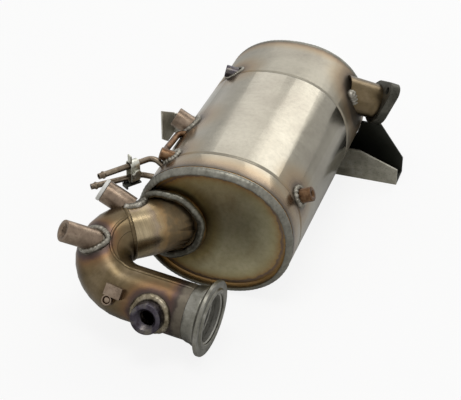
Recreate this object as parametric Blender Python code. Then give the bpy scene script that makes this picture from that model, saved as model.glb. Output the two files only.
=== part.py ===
"""Diesel particulate filter: an oval stainless can with a pressed inlet elbow and a V-band flange.

The can's axis runs along +Y. The inlet end plate faces -Y, +Z is up and +X is to the right of
someone who looks at the inlet end. Everything is placed from the centre of the can's inlet end.
The assembly rests on the can's flat side, the V-band rim and the side bracket's floor, and the
middle of its footprint is the world origin.
"""

import bpy
import bmesh
from math import cos, pi, radians, sin, tan
from mathutils import Matrix, Vector

# Fits: what touches keeps this clearance.
GAP = 0.0003
SHARP_ANGLE = radians(32)

# Can: an oval tube with a rolled swage near each end of the filter.
CAN_LENGTH = 0.280
CAN_HALF_WIDTH = 0.080
CAN_HALF_HEIGHT = 0.0702
CAN_SQUARENESS = 2.23
CAN_WALL = 0.0015
CAN_FACETS = 52
SWAGE_FRONT_Y = 0.029
SWAGE_REAR_Y = 0.205
SWAGE_DEPTH = 0.0009
SWAGE_WIDTH = 0.0044

# End plates: flat pressings with a skirt inside the can and a weld bead round the rim.
PLATE_THICKNESS = 0.0018
PLATE_RECESS = 0.0022
SKIRT_LENGTH = 0.011
RIM_BEAD_WIDTH = 0.0062
RIM_BEAD_SETBACK = 0.0030

# Filter pack inside the can.
FILTER_END_MARGIN = 0.006
MAT_THICKNESS = 0.005
SEAL_RING_LENGTH = 0.008
SEGMENT_PITCH = 0.036
SEGMENT_JOINT = 0.0015
SEGMENT_JOINT_DEPTH = 0.0015

# Inlet line: a stub pipe from the end plate, then a pressed elbow in two half shells.
PIPE_RADIUS = 0.027
PIPE_WALL = 0.0015
PIPE_FACETS = 28
STUB_ROOT_RADIUS = 0.0295
STUB_TAPER_LENGTH = 0.030
STUB_INSERTION = 0.004
ROOT_X = -0.0455
ROOT_Z = 0.0
ROOT_BEAD_CENTRE = Vector((-0.0445, 0.0, -0.0010))
ROOT_BEAD_REACH = 0.0360
ROOT_BEAD_HEIGHT = 0.0055
ROOT_BEAD_FACETS = 36
SEAT_CLEARANCE = 0.0008
JOINT_LEAD = 0.0015
STUB_CORNER = Vector((-0.057, -0.018, 0.003))
ELBOW_CORNER_OUTER = Vector((-0.107, -0.060, 0.003))
ELBOW_CORNER_LOWER = Vector((-0.070, -0.086, -0.025))
STUB_BEND_RADIUS = 0.035
ELBOW_BEND_RADIUS = 0.030
ELBOW_LOWER_BEND_RADIUS = 0.043
ELBOW_SEAM_ANGLE = radians(-52)
BEND_STEP = radians(11)

# V-band flange on the elbow's outlet end, turned from solid.
VBAND_FACE = Vector((0.030, -0.093, -0.0325))
VBAND_RADIUS = 0.0375
VBAND_BORE_RADIUS = 0.0250
VBAND_RIM = 0.0032
VBAND_CONE = 0.0042
VBAND_GROOVE_RADIUS = 0.0300
VBAND_NECK_LENGTH = 0.0125
VBAND_LIP_RADIUS = 0.0305
VBAND_LIP_HEIGHT = 0.0016
VBAND_FACETS = 40


def clear_scene():
    for thing in list(bpy.data.objects):
        bpy.data.objects.remove(thing, do_unlink=True)


def make_material(name, colour, roughness, metallic):
    material = bpy.data.materials.new(name)
    material.use_nodes = True
    shader = material.node_tree.nodes["Principled BSDF"]
    shader.inputs["Base Color"].default_value = (*colour, 1.0)
    shader.inputs["Roughness"].default_value = roughness
    shader.inputs["Metallic"].default_value = metallic
    material.diffuse_color = (*colour, 1.0)
    return material


def finish_object(name, bm, material):
    """Closes the mesh's books: outward faces, smooth shading with sharp edges, one material."""
    bmesh.ops.remove_doubles(bm, verts=bm.verts, dist=1e-7)
    bmesh.ops.recalc_face_normals(bm, faces=bm.faces)
    mesh = bpy.data.meshes.new(name)
    bm.to_mesh(mesh)
    bm.free()
    mesh.shade_smooth()
    mesh.set_sharp_from_angle(angle=SHARP_ANGLE)
    thing = bpy.data.objects.new(name, mesh)
    bpy.context.collection.objects.link(thing)
    thing.data.materials.append(material)
    return thing


def cut_away(body, cutter):
    """Subtracts the cutter from the body, then removes the cutter."""
    modifier = body.modifiers.new("cut", "BOOLEAN")
    modifier.operation = "DIFFERENCE"
    modifier.solver = "EXACT"
    modifier.object = cutter
    view = bpy.context.evaluated_depsgraph_get()
    result = bpy.data.meshes.new_from_object(body.evaluated_get(view))
    body.modifiers.clear()
    old = body.data
    body.data = result
    bpy.data.meshes.remove(old)
    bpy.data.objects.remove(cutter, do_unlink=True)
    body.data.set_sharp_from_angle(angle=SHARP_ANGLE)


def loft(rings, closed=False):
    """Skins a row of point rings. A closed loft joins its last ring to its first."""
    bm = bmesh.new()
    loops = [[bm.verts.new(point) for point in ring] for ring in rings]
    pairs = list(zip(loops, loops[1:]))
    if closed:
        pairs.append((loops[-1], loops[0]))
    for near, far in pairs:
        count = len(near)
        for i in range(count):
            j = (i + 1) % count
            bm.faces.new((near[i], near[j], far[j], far[i]))
    if not closed:
        bm.faces.new(loops[0])
        bm.faces.new(loops[-1])
    return bm


def frame_along(direction, up=Vector((0.0, 0.0, 1.0))):
    """Matrix whose Z runs along the direction."""
    forward = direction.normalized()
    if abs(forward.dot(up)) > 0.99:
        up = Vector((0.0, 1.0, 0.0))
    side = up.cross(forward).normalized()
    return Matrix((side, forward.cross(side), forward)).transposed()


def turned(profile, origin, axis, facets):
    """Rings of a turned part from (radius, height) points on a closed profile with a bore."""
    frame = frame_along(axis)
    rings = []
    for radius, height in profile:
        ring = []
        for i in range(facets):
            turn = 2 * pi * i / facets
            local = Vector((radius * cos(turn), radius * sin(turn), height))
            ring.append(origin + frame @ local)
        rings.append(ring)
    return rings


def turned_solid(profile, origin, axis, facets):
    """A turned part without a bore: its profile runs from the foot's rim to the face's rim."""
    return loft(turned(profile, origin, axis, facets))


def turned_tube(profile, origin, axis, facets):
    return loft(turned(profile, origin, axis, facets), closed=True)


def box_between(low, high, frame=Matrix.Identity(3), origin=Vector()):
    corners = [(low[0], low[1]), (high[0], low[1]), (high[0], high[1]), (low[0], high[1])]
    rings = [[origin + frame @ Vector((x, y, z)) for x, y in corners] for z in (low[2], high[2])]
    return loft(rings)


def signed_power(value, exponent):
    return abs(value) ** exponent * (1 if value >= 0 else -1)


def oval_ring(inset, y, facets=CAN_FACETS):
    """One ring of the can's oval, set in from its outer surface."""
    width = CAN_HALF_WIDTH - inset
    height = CAN_HALF_HEIGHT - inset
    ring = []
    for i in range(facets):
        turn = 2 * pi * i / facets
        x = width * signed_power(cos(turn), 2 / CAN_SQUARENESS)
        z = height * signed_power(sin(turn), 2 / CAN_SQUARENESS)
        ring.append(Vector((x, y, z)))
    return ring


def can_surface(z, side, inset=0.0):
    """X of the can's side wall at height z, on the side -1 or +1."""
    share = abs(z) / (CAN_HALF_HEIGHT - inset)
    return side * (CAN_HALF_WIDTH - inset) * (1 - share ** CAN_SQUARENESS) ** (1 / CAN_SQUARENESS)


def can_envelope(inset):
    """The can as a solid oval bar, longer than the can at both ends, to cut saddles with."""
    ends = (-0.02, CAN_LENGTH + 0.02)
    return finish_object("can_envelope", loft([oval_ring(inset, y) for y in ends]), STEEL)


def bent_route(corners, bend_radii, step=BEND_STEP):
    """Centre line of a bent tube: straight runs joined by arcs that touch them."""
    points = [corners[0].copy()]
    for before, corner, after, radius in zip(corners, corners[1:], corners[2:], bend_radii):
        back = (before - corner).normalized()
        ahead = (after - corner).normalized()
        half = back.angle(ahead) / 2
        centre = corner + (back + ahead).normalized() * (radius / sin(half))
        start = corner + back * (radius / tan(half)) - centre
        finish = corner + ahead * (radius / tan(half)) - centre
        sweep = start.angle(finish)
        count = max(2, round(sweep / step))
        for i in range(count + 1):
            turn = sweep * i / count
            points.append(centre + (start * sin(sweep - turn) + finish * sin(turn)) / sin(sweep))
    points.append(corners[-1].copy())
    return points


def route_frames(points):
    """(point, side, up, forward) at each point of a route, turning as little as possible."""
    frames = []
    up = None
    for i, point in enumerate(points):
        before = points[max(i - 1, 0)]
        after = points[min(i + 1, len(points) - 1)]
        forward = (after - before).normalized()
        if up is None:
            up = Vector((0.0, 0.0, 1.0))
        up = (up - forward * up.dot(forward)).normalized()
        frames.append((point, forward.cross(up), up, forward))
    return frames


def route_length(points):
    return sum((b - a).length for a, b in zip(points, points[1:]))


def round_rings(points, radius_at, facets):
    """Rings of a round pipe. radius_at gives the radius from the distance along the route."""
    rings = []
    travelled = 0.0
    previous = points[0]
    for point, side, up, _ in route_frames(points):
        travelled += (point - previous).length
        previous = point
        radius = radius_at(travelled)
        ring = []
        for i in range(facets):
            turn = 2 * pi * i / facets
            ring.append(point + (side * sin(turn) + up * cos(turn)) * radius)
        rings.append(ring)
    return rings


def pipe_body(points, outer_at, wall, facets):
    outer = round_rings(points, outer_at, facets)
    inner = round_rings(points, lambda s: outer_at(s) - wall, facets)
    return loft(outer + inner[::-1], closed=True)


def pipe_rod(points, radius, facets):
    return loft(round_rings(points, lambda s: radius, facets))


# Sensor bosses: turned, bored through, with a weld fillet at the foot.
class BossSize:
    """Sizes of one turned boss: radius, bore, height above its foot and weld fillet."""

    def __init__(self, radius, bore, height, fillet, facets=24):
        self.radius = radius
        self.bore = bore
        self.height = height
        self.fillet = fillet
        self.facets = facets


BOSS_EDGE = 0.0008
BOSS_DEPTH = 0.022
LAMBDA_BOSS = BossSize(0.0150, 0.0086, 0.0145, 0.0035, 28)
ELBOW_BOSS = BossSize(0.0112, 0.0062, 0.0305, 0.0030)
STUB_BOSS = BossSize(0.0125, 0.0065, 0.0210, 0.0032)
SIDE_BOSS = BossSize(0.0102, 0.0055, 0.0205, 0.0026)
PRESSURE_BOSS = BossSize(0.0062, 0.0030, 0.0118, 0.0024, 20)
BUNG_BOSS = BossSize(0.0068, 0.0036, 0.0145, 0.0022, 20)
RIGHT_BOSS = BossSize(0.0075, 0.0030, 0.0140, 0.0028, 20)

# Where the inlet line's bosses stand: share of the line's length, outward direction, axis.
LAMBDA_SHARE = 0.770
LAMBDA_OUTWARD = Vector((-0.06, -0.99, 0.16))
LAMBDA_AXIS = Vector((0.02, -0.94, 0.33))
ELBOW_BOSS_SHARE = 0.380
ELBOW_BOSS_OUTWARD = Vector((-0.29, -0.50, 0.82))
ELBOW_BOSS_AXIS = Vector((-0.66, -0.54, 0.53))
STUB_BOSS_SHARE = 0.225
STUB_BOSS_OUTWARD = Vector((-0.35, 0.42, 0.84))
STUB_BOSS_AXIS = Vector((-0.80, -0.27, 0.53))

# Transport plug in the stub's boss: a pale disc on a stem that fills the bore.
PLUG_HEAD_RADIUS = 0.0135
PLUG_HEAD_THICKNESS = 0.0026
PLUG_STEM_LENGTH = 0.010

# Where the can's bosses stand: y, height above the axis, side, axis direction.
SIDE_BOSS_PLACE = (0.117, 0.0470, -1, Vector((-0.95, -0.24, 0.20)))
PRESSURE_BOSS_PLACE = (0.034, 0.0535, -1, Vector((-0.90, -0.25, 0.35)))
BUNG_PLACE = (0.212, 0.0572, -1, Vector((-0.95, -0.18, 0.22)))
RIGHT_BOSS_PLACE = (0.041, 0.030, 1, Vector((0.915, 0.03, 0.402)))

# Differential pressure tubes, with a bead near each free end.
TUBE_RADIUS = 0.0036
TUBE_WALL = 0.0009
TUBE_BEAD = 0.0010
TUBE_FACETS = 10
TUBE_BEND_RADIUS = 0.012
UPPER_TUBE_TIP = Vector((-0.1128, -0.0161, 0.0492))
UPPER_TUBE_CORNER = Vector((-0.0753, 0.0339, 0.0492))
UPPER_TUBE_FOOT = Vector((-0.0580, 0.0262, 0.0435))
LOWER_TUBE_TIP = Vector((-0.1193, -0.0247, 0.0414))
LOWER_TUBE_CORNER = Vector((-0.0843, 0.0219, 0.0344))
LOWER_TUBE_FOOT = Vector((-0.0650, 0.0255, 0.0320))
LINK_TUBE_RADIUS = 0.0034
LINK_TUBE_CORNER = Vector((-0.0690, 0.0540, 0.0490))
LINK_TUBE_RISE = Vector((-0.0690, 0.0880, 0.0470))
LINK_TUBE_FOOT = Vector((-0.0570, 0.0950, 0.0450))

# Clamp on the two tubes: a zinc strap, its bolt and a dark backing plate.
CLAMP_SHARE = 0.62
CLAMP_WIDTH = 0.010
CLAMP_SHEET = 0.0012
CLAMP_TAB_HEIGHT = 0.008
CLAMP_BOLT_RADIUS = 0.0030
CLAMP_BOLT_HEAD = 0.0050
BACKING_LENGTH = 0.017
BACKING_SHEET = 0.0016

# Hose clip on the elbow: a folded strap and a pin with a domed end.
CLIP_SHARE = 0.600
CLIP_OUTWARD = Vector((-0.06, -0.92, 0.38))
CLIP_SHEET = 0.0015
CLIP_LENGTH = 0.0185
CLIP_LEG = 0.0150
CLIP_RISE = 0.0090
CLIP_PIN_RADIUS = 0.0042
CLIP_PIN_HEIGHT = 0.0100

# Outlet pipe and its two-bolt flange on the can's right side.
OUTLET_CENTRE = Vector((0.0938, 0.2700, 0.0169))
OUTLET_NORMAL = Vector((0.836, 0.401, -0.375))
OUTLET_UPWARD = Vector((0.043, 0.662, 0.747))
OUTLET_PIPE_RADIUS = 0.0195
OUTLET_PIPE_WALL = 0.0018
OUTLET_PIPE_INSET = 0.038
OUTLET_FLANGE_THICKNESS = 0.0110
OUTLET_FLANGE_CHAMFER = 0.0008
OUTLET_COLLAR_RADIUS = 0.0245
OUTLET_EAR_RISE = 0.0095
OUTLET_EAR_SPREAD = 0.0280
OUTLET_EAR_RADIUS = 0.0100
OUTLET_BOLT_RADIUS = 0.0042
OUTLET_OUTLINE_STEPS = 40

# Side bracket: a folded steel channel, welded to the can's right side.
BRACKET_SHEET = 0.0025
BRACKET_FRONT_Y = 0.2445
BRACKET_DEPTH = 0.0300
BRACKET_REACH = 0.1295
BRACKET_LIP_HEIGHT = 0.0190
BRACKET_FRONT_HEIGHT = 0.0360
BRACKET_FRONT_SHOULDER = 0.0860
BRACKET_REAR_HEIGHT = 0.0575
BRACKET_REAR_SHOULDER = 0.1020

# Tab bracket on the can's left side: a bent sheet.
TAB_SHEET = 0.0020
TAB_FRONT_Y = 0.108
TAB_LENGTH = 0.034
TAB_REACH = 0.016
TAB_TOP_Z = 0.058
TAB_BOTTOM_Z = 0.014


def inlet_corners():
    """Corners of the inlet line, from inside the end plate to the V-band's neck."""
    root = Vector((ROOT_X, PLATE_RECESS + STUB_INSERTION, ROOT_Z))
    return [root, STUB_CORNER, ELBOW_CORNER_OUTER, ELBOW_CORNER_LOWER, VBAND_FACE]


def inlet_bends():
    return [STUB_BEND_RADIUS, ELBOW_BEND_RADIUS, ELBOW_LOWER_BEND_RADIUS]


def joint_point():
    """Where the stub ends and the elbow starts: just before the elbow's first bend."""
    back = (STUB_CORNER - ELBOW_CORNER_OUTER).normalized()
    ahead = (ELBOW_CORNER_LOWER - ELBOW_CORNER_OUTER).normalized()
    tangent = ELBOW_BEND_RADIUS / tan(back.angle(ahead) / 2)
    return ELBOW_CORNER_OUTER + back * (tangent + JOINT_LEAD), -back


def vband_axis():
    return (VBAND_FACE - ELBOW_CORNER_LOWER).normalized()


def stub_radius(distance):
    """The stub narrows from its root to the elbow's radius."""
    share = max(0.0, 1 - distance / STUB_TAPER_LENGTH)
    return PIPE_RADIUS + (STUB_ROOT_RADIUS - PIPE_RADIUS) * share


def inlet_envelope(extra):
    """The whole inlet line as a solid rod, to cut saddles with."""
    points = bent_route(inlet_corners(), inlet_bends())
    rings = round_rings(points, lambda s: stub_radius(s) + extra, PIPE_FACETS)
    return finish_object("inlet_envelope", loft(rings), STEEL)


def inlet_point(share):
    """Point and forward direction at a share of the inlet line's length."""
    points = bent_route(inlet_corners(), inlet_bends())
    left = share * route_length(points)
    for start, finish in zip(points, points[1:]):
        run = (finish - start).length
        if left <= run:
            return start.lerp(finish, left / run), (finish - start).normalized()
        left -= run
    return points[-1], (points[-1] - points[-2]).normalized()


def inlet_foot(share, outward):
    """Point on the inlet line's outer surface."""
    centre, forward = inlet_point(share)
    outward = (outward - forward * outward.dot(forward)).normalized()
    return centre + outward * PIPE_RADIUS


def can_foot(place):
    y, z, side, axis = place
    return Vector((can_surface(z, side), y, z)), axis.normalized()


def bore_cutter(foot, axis, radius, depth, rise=0.004):
    low = foot - axis * depth
    high = foot + axis * rise
    frame = frame_along(axis)
    rings = []
    for centre in (low, high):
        ring = []
        for i in range(20):
            turn = 2 * pi * i / 20
            ring.append(centre + frame @ Vector((radius * cos(turn), radius * sin(turn), 0.0)))
        rings.append(ring)
    return finish_object("bore_cutter", loft(rings), STEEL)


def add_boss(name, size, foot, axis, envelope, material):
    """A turned boss whose foot is cut to the surface that it is welded to."""
    axis = axis.normalized()
    profile = [
        (size.bore, -BOSS_DEPTH),
        (size.radius + size.fillet, -BOSS_DEPTH),
        (size.radius + size.fillet, 0.0),
        (size.radius + size.fillet * 0.75, size.fillet * 0.55),
        (size.radius + size.fillet * 0.25, size.fillet * 0.95),
        (size.radius, size.fillet * 1.25),
        (size.radius, size.height - BOSS_EDGE),
        (size.radius - BOSS_EDGE, size.height),
        (size.bore + BOSS_EDGE, size.height),
        (size.bore, size.height - BOSS_EDGE),
    ]
    body = finish_object(name, turned_tube(profile, foot, axis, size.facets), material)
    cut_away(body, envelope)
    return body


def build_can():
    """Oval tube, rolled inward at the two swages, from one end plate's bead to the other's."""
    start = RIM_BEAD_SETBACK + GAP
    finish = CAN_LENGTH - start
    stations = [(start, 0.0)]
    for centre in (SWAGE_FRONT_Y, SWAGE_REAR_Y):
        half = SWAGE_WIDTH / 2
        stations += [(centre - half, 0.0), (centre, SWAGE_DEPTH), (centre + half, 0.0)]
    stations.append((finish, 0.0))
    outer = [oval_ring(inset, y) for y, inset in stations]
    inner = [oval_ring(inset + CAN_WALL, y) for y, inset in reversed(stations)]
    can = finish_object("can_shell", loft(outer + inner, closed=True), STAINLESS)
    bores = [(SIDE_BOSS_PLACE, SIDE_BOSS), (PRESSURE_BOSS_PLACE, PRESSURE_BOSS)]
    bores += [(BUNG_PLACE, BUNG_BOSS), (RIGHT_BOSS_PLACE, RIGHT_BOSS)]
    for place, size in bores:
        foot, axis = can_foot(place)
        cut_away(can, bore_cutter(foot, axis, size.bore, 0.012))
    for corner, foot in ((UPPER_TUBE_CORNER, UPPER_TUBE_FOOT), (LOWER_TUBE_CORNER, LOWER_TUBE_FOOT)):
        run = (corner - foot).normalized()
        cut_away(can, bore_cutter(foot, run, TUBE_RADIUS - TUBE_WALL, 0.004, 0.012))
    normal = OUTLET_NORMAL.normalized()
    bore = OUTLET_PIPE_RADIUS - OUTLET_PIPE_WALL
    cut_away(can, bore_cutter(OUTLET_CENTRE - normal * 0.014, normal, bore, 0.020, 0.010))
    return can


def end_plate_rings(inward):
    """Rings of a pressed end plate whose outer face looks along -Y, centre cap left open."""
    rim = RIM_BEAD_SETBACK
    width = RIM_BEAD_WIDTH
    skirt = CAN_WALL + GAP
    face = PLATE_RECESS
    outer = [
        (skirt, rim + SKIRT_LENGTH),
        (skirt, rim + GAP),
        (skirt, rim),
        (GAP, rim),
        (GAP + width * 0.08, rim * 0.35),
        (GAP + width * 0.30, 0.0),
        (GAP + width * 0.75, 0.0004),
        (GAP + width, face * 0.55),
        (GAP + width * 1.18, face),
    ]
    inner = [
        (GAP + width * 1.18, face + PLATE_THICKNESS),
        (skirt + PLATE_THICKNESS * 1.6, face + PLATE_THICKNESS * 1.6),
        (skirt + PLATE_THICKNESS, face + PLATE_THICKNESS * 2.6),
        (skirt + PLATE_THICKNESS, rim + SKIRT_LENGTH),
    ]
    place = (lambda y: y) if inward > 0 else (lambda y: CAN_LENGTH - y)
    return ([oval_ring(inset, place(y)) for inset, y in outer],
            [oval_ring(inset, place(y)) for inset, y in inner])


def build_end_plate(name, inward):
    outer, inner = end_plate_rings(inward)
    bm = bmesh.new()
    loops = [[bm.verts.new(point) for point in ring] for ring in outer + inner]
    for near, far in list(zip(loops[:8], loops[1:9])) + list(zip(loops[9:12], loops[10:13])):
        for i in range(CAN_FACETS):
            j = (i + 1) % CAN_FACETS
            bm.faces.new((near[i], near[j], far[j], far[i]))
    for i in range(CAN_FACETS):
        j = (i + 1) % CAN_FACETS
        bm.faces.new((loops[12][i], loops[12][j], loops[0][j], loops[0][i]))
    bm.faces.new(loops[8])
    bm.faces.new(loops[9])
    return finish_object(name, bm, STAINLESS)


def build_inlet_plate():
    """The plate has a hole for the stub and a flat seat for the stub's root bead."""
    plate = build_end_plate("inlet_end_plate", 1)
    straight = Vector((0.0, 1.0, 0.0))
    seat = ROOT_BEAD_CENTRE + straight * PLATE_RECESS
    cut_away(plate, bore_cutter(seat, -straight, ROOT_BEAD_REACH + SEAT_CLEARANCE, 0.0, 0.01))
    points = bent_route(inlet_corners(), inlet_bends())[:4]
    back = (points[0] - points[1]).normalized()
    points[0] = points[0] + back * 0.02
    rings = round_rings(points, lambda s: STUB_ROOT_RADIUS + GAP, PIPE_FACETS)
    cut_away(plate, finish_object("stub_hole", loft(rings), STEEL))
    return plate


def build_filter():
    """Wall-flow filter block, its mat and its end rings, between the two swages."""
    clear = SWAGE_WIDTH / 2 + FILTER_END_MARGIN
    start = SWAGE_FRONT_Y + clear
    finish = SWAGE_REAR_Y - clear
    mat_outer = CAN_WALL + GAP
    mat_inner = mat_outer + MAT_THICKNESS
    block_inset = mat_inner + GAP
    block = finish_object(
        "filter_block", loft([oval_ring(block_inset, y) for y in (start, finish)]), CERAMIC)
    add_segment_joints(block, start, finish)
    stations = (start + SEAL_RING_LENGTH + GAP, finish - SEAL_RING_LENGTH - GAP)
    add_oval_sleeve("support_mat", mat_outer, mat_inner, stations, MAT)
    ring_ends = (start, start + SEAL_RING_LENGTH)
    add_oval_sleeve("front_seal_ring", mat_outer, mat_inner, ring_ends, STEEL)
    ring_ends = (finish - SEAL_RING_LENGTH, finish)
    add_oval_sleeve("rear_seal_ring", mat_outer, mat_inner, ring_ends, STEEL)


def add_oval_sleeve(name, outer_inset, inner_inset, ends, material):
    low, high = ends
    rings = [oval_ring(outer_inset, low), oval_ring(outer_inset, high),
             oval_ring(inner_inset, high), oval_ring(inner_inset, low)]
    return finish_object(name, loft(rings, closed=True), material)


def add_segment_joints(block, start, finish):
    """Grooves on both ends where the block's square segments are cemented together."""
    half = SEGMENT_JOINT / 2
    reach = CAN_HALF_WIDTH
    depth = SEGMENT_JOINT_DEPTH
    for y in (start, finish):
        for lane in (-1.5, -0.5, 0.5, 1.5):
            middle = lane * SEGMENT_PITCH
            low = (middle - half, y - depth, -reach)
            cutter = box_between(low, (middle + half, y + depth, reach))
            cut_away(block, finish_object("joint_cutter", cutter, STEEL))
        for lane in (-1, 0, 1):
            middle = lane * SEGMENT_PITCH
            low = (-reach, y - depth, middle - half)
            cutter = box_between(low, (reach, y + depth, middle + half))
            cut_away(block, finish_object("joint_cutter", cutter, STEEL))


def build_root_bead():
    """Broad fillet weld round the stub's root, hollowed by the pipe it sits on."""
    height = ROOT_BEAD_HEIGHT
    reach = ROOT_BEAD_REACH
    seat = -(PLATE_RECESS - GAP)
    profile = [
        (reach, seat),
        (reach, seat + height * 0.35),
        (reach - height * 0.28, seat + height * 0.80),
        (reach - height * 0.80, seat + height),
        (reach - height * 1.35, seat + height * 0.92),
    ]
    forward = Vector((0.0, -1.0, 0.0))
    bm = turned_solid(profile, ROOT_BEAD_CENTRE, forward, ROOT_BEAD_FACETS)
    bead = finish_object("root_bead", bm, STEEL)
    cut_away(bead, inlet_envelope(-PIPE_WALL / 2))
    return bead


def build_stub():
    """Stub pipe from the end plate to the elbow, with its weld bead at the root."""
    joint, forward = joint_point()
    corners = [inlet_corners()[0], STUB_CORNER, joint - forward * GAP]
    points = bent_route(corners, [STUB_BEND_RADIUS])
    stub = finish_object(
        "inlet_stub_pipe", pipe_body(points, stub_radius, PIPE_WALL, PIPE_FACETS), STAINLESS)
    join(stub, build_root_bead())
    foot = inlet_foot(STUB_BOSS_SHARE, STUB_BOSS_OUTWARD)
    cut_away(stub, bore_cutter(foot, STUB_BOSS_AXIS.normalized(), STUB_BOSS.bore, 0.014))
    return stub


def join(body, other):
    """Fuses the other solid into the body."""
    modifier = body.modifiers.new("join", "BOOLEAN")
    modifier.operation = "UNION"
    modifier.solver = "EXACT"
    modifier.object = other
    view = bpy.context.evaluated_depsgraph_get()
    result = bpy.data.meshes.new_from_object(body.evaluated_get(view))
    body.modifiers.clear()
    old = body.data
    body.data = result
    bpy.data.meshes.remove(old)
    bpy.data.objects.remove(other, do_unlink=True)
    body.data.set_sharp_from_angle(angle=SHARP_ANGLE)


def elbow_route():
    joint, forward = joint_point()
    back_off = VBAND_RIM + VBAND_CONE + VBAND_NECK_LENGTH + GAP
    end = VBAND_FACE - vband_axis() * back_off
    corners = [joint + forward * GAP, ELBOW_CORNER_OUTER, ELBOW_CORNER_LOWER, end]
    return bent_route(corners, inlet_bends()[1:])


def build_elbow_half(name, seam_start, material):
    """Half shell of the elbow: a half-round channel swept along the route."""
    clearance = GAP / 2 / PIPE_RADIUS
    count = PIPE_FACETS // 2
    rings = []
    for point, side, up, _ in route_frames(elbow_route()):
        ring = []
        for radius, order in ((PIPE_RADIUS, 1), (PIPE_RADIUS - PIPE_WALL, -1)):
            arc = []
            for i in range(count + 1):
                turn = seam_start + clearance + (pi - 2 * clearance) * i / count
                arc.append(point + (side * sin(turn) + up * cos(turn)) * radius)
            ring += arc[::order]
        rings.append(ring)
    return finish_object(name, loft(rings), material)


def build_elbow():
    front = build_elbow_half("elbow_front_half", ELBOW_SEAM_ANGLE, STAINLESS)
    back = build_elbow_half("elbow_back_half", ELBOW_SEAM_ANGLE + pi, STAINLESS)
    holes = [(LAMBDA_SHARE, LAMBDA_OUTWARD, LAMBDA_AXIS, LAMBDA_BOSS)]
    holes.append((ELBOW_BOSS_SHARE, ELBOW_BOSS_OUTWARD, ELBOW_BOSS_AXIS, ELBOW_BOSS))
    for share, outward, axis, size in holes:
        foot = inlet_foot(share, outward)
        cut_away(front, bore_cutter(foot, axis.normalized(), size.bore, 0.014))
    return front, back


def build_vband():
    """Turned flange: a weld neck, a groove, the clamp's cone and a raised lip round the bore."""
    axis = vband_axis()
    cone_back = -(VBAND_RIM + VBAND_CONE)
    neck_end = cone_back - VBAND_NECK_LENGTH
    profile = [
        (VBAND_BORE_RADIUS, neck_end),
        (PIPE_RADIUS, neck_end),
        (PIPE_RADIUS + 0.0012, neck_end + 0.0035),
        (PIPE_RADIUS + 0.0016, neck_end + 0.0075),
        (VBAND_GROOVE_RADIUS, cone_back - 0.0022),
        (VBAND_GROOVE_RADIUS, cone_back),
        (VBAND_RADIUS, -VBAND_RIM),
        (VBAND_RADIUS, -0.0006),
        (VBAND_RADIUS - 0.0006, 0.0),
        (VBAND_LIP_RADIUS, 0.0),
        (VBAND_LIP_RADIUS - VBAND_LIP_HEIGHT, VBAND_LIP_HEIGHT),
        (VBAND_BORE_RADIUS + 0.0012, VBAND_LIP_HEIGHT),
        (VBAND_BORE_RADIUS, VBAND_LIP_HEIGHT - 0.0008),
    ]
    rings = turned_tube(profile, VBAND_FACE, axis, VBAND_FACETS)
    return finish_object("vband_flange", rings, MACHINED)


def build_inlet_bosses():
    """Lambda, temperature and stub bosses, and the plug in the stub's one."""
    rows = [("lambda_boss", LAMBDA_BOSS, LAMBDA_SHARE, LAMBDA_OUTWARD, LAMBDA_AXIS)]
    rows.append(("elbow_sensor_boss", ELBOW_BOSS, ELBOW_BOSS_SHARE, ELBOW_BOSS_OUTWARD,
                 ELBOW_BOSS_AXIS))
    rows.append(("stub_sensor_boss", STUB_BOSS, STUB_BOSS_SHARE, STUB_BOSS_OUTWARD,
                 STUB_BOSS_AXIS))
    for name, size, share, outward, axis in rows:
        foot = inlet_foot(share, outward)
        add_boss(name, size, foot, axis, inlet_envelope(GAP), BRONZED)
    face = inlet_foot(STUB_BOSS_SHARE, STUB_BOSS_OUTWARD)
    axis = STUB_BOSS_AXIS.normalized()
    face = face + axis * STUB_BOSS.height
    stem = STUB_BOSS.bore - GAP
    profile = [
        (stem, -PLUG_STEM_LENGTH),
        (stem, GAP),
        (PLUG_HEAD_RADIUS, GAP),
        (PLUG_HEAD_RADIUS, GAP + PLUG_HEAD_THICKNESS * 0.8),
        (PLUG_HEAD_RADIUS - 0.0006, GAP + PLUG_HEAD_THICKNESS),
    ]
    finish_object("stub_boss_plug", turned_solid(profile, face, axis, 24), PLASTIC)


def build_can_bosses():
    rows = [("can_sensor_boss", SIDE_BOSS, SIDE_BOSS_PLACE)]
    rows.append(("pressure_boss", PRESSURE_BOSS, PRESSURE_BOSS_PLACE))
    rows.append(("rear_left_bung", BUNG_BOSS, BUNG_PLACE))
    rows.append(("right_pressure_boss", RIGHT_BOSS, RIGHT_BOSS_PLACE))
    for name, size, place in rows:
        foot, axis = can_foot(place)
        add_boss(name, size, foot, axis, can_envelope(-GAP), BRONZED)


def tube_outer(length, bead_at, bead):
    """Radius of a hose end along its run: a rounded bead near the tip."""
    def radius(distance):
        off = abs(distance - bead_at) / 0.0022
        return TUBE_RADIUS + bead * max(0.0, 1 - off)
    return radius


def split_runs(points, breaks):
    """Adds points at the given distances along the first straight run."""
    start, finish = points[0], points[1]
    run = (finish - start).normalized()
    return [start] + [start + run * distance for distance in breaks] + points[1:]


def build_tube(name, tip, corner, foot, bead_at):
    """Thin tube from its open tip to the can's wall, where it is cut to the can's curve."""
    inward = (foot - corner).normalized()
    points = bent_route([tip, corner, foot + inward * 0.008], [TUBE_BEND_RADIUS], radians(14))
    points = split_runs(points, (bead_at - 0.0022, bead_at, bead_at + 0.0022))
    radius_at = tube_outer(0.0, bead_at, TUBE_BEAD)
    bm = pipe_body(points, radius_at, TUBE_WALL, TUBE_FACETS)
    tube = finish_object(name, bm, BRONZED)
    cut_away(tube, can_envelope(-GAP))
    return tube


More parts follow.
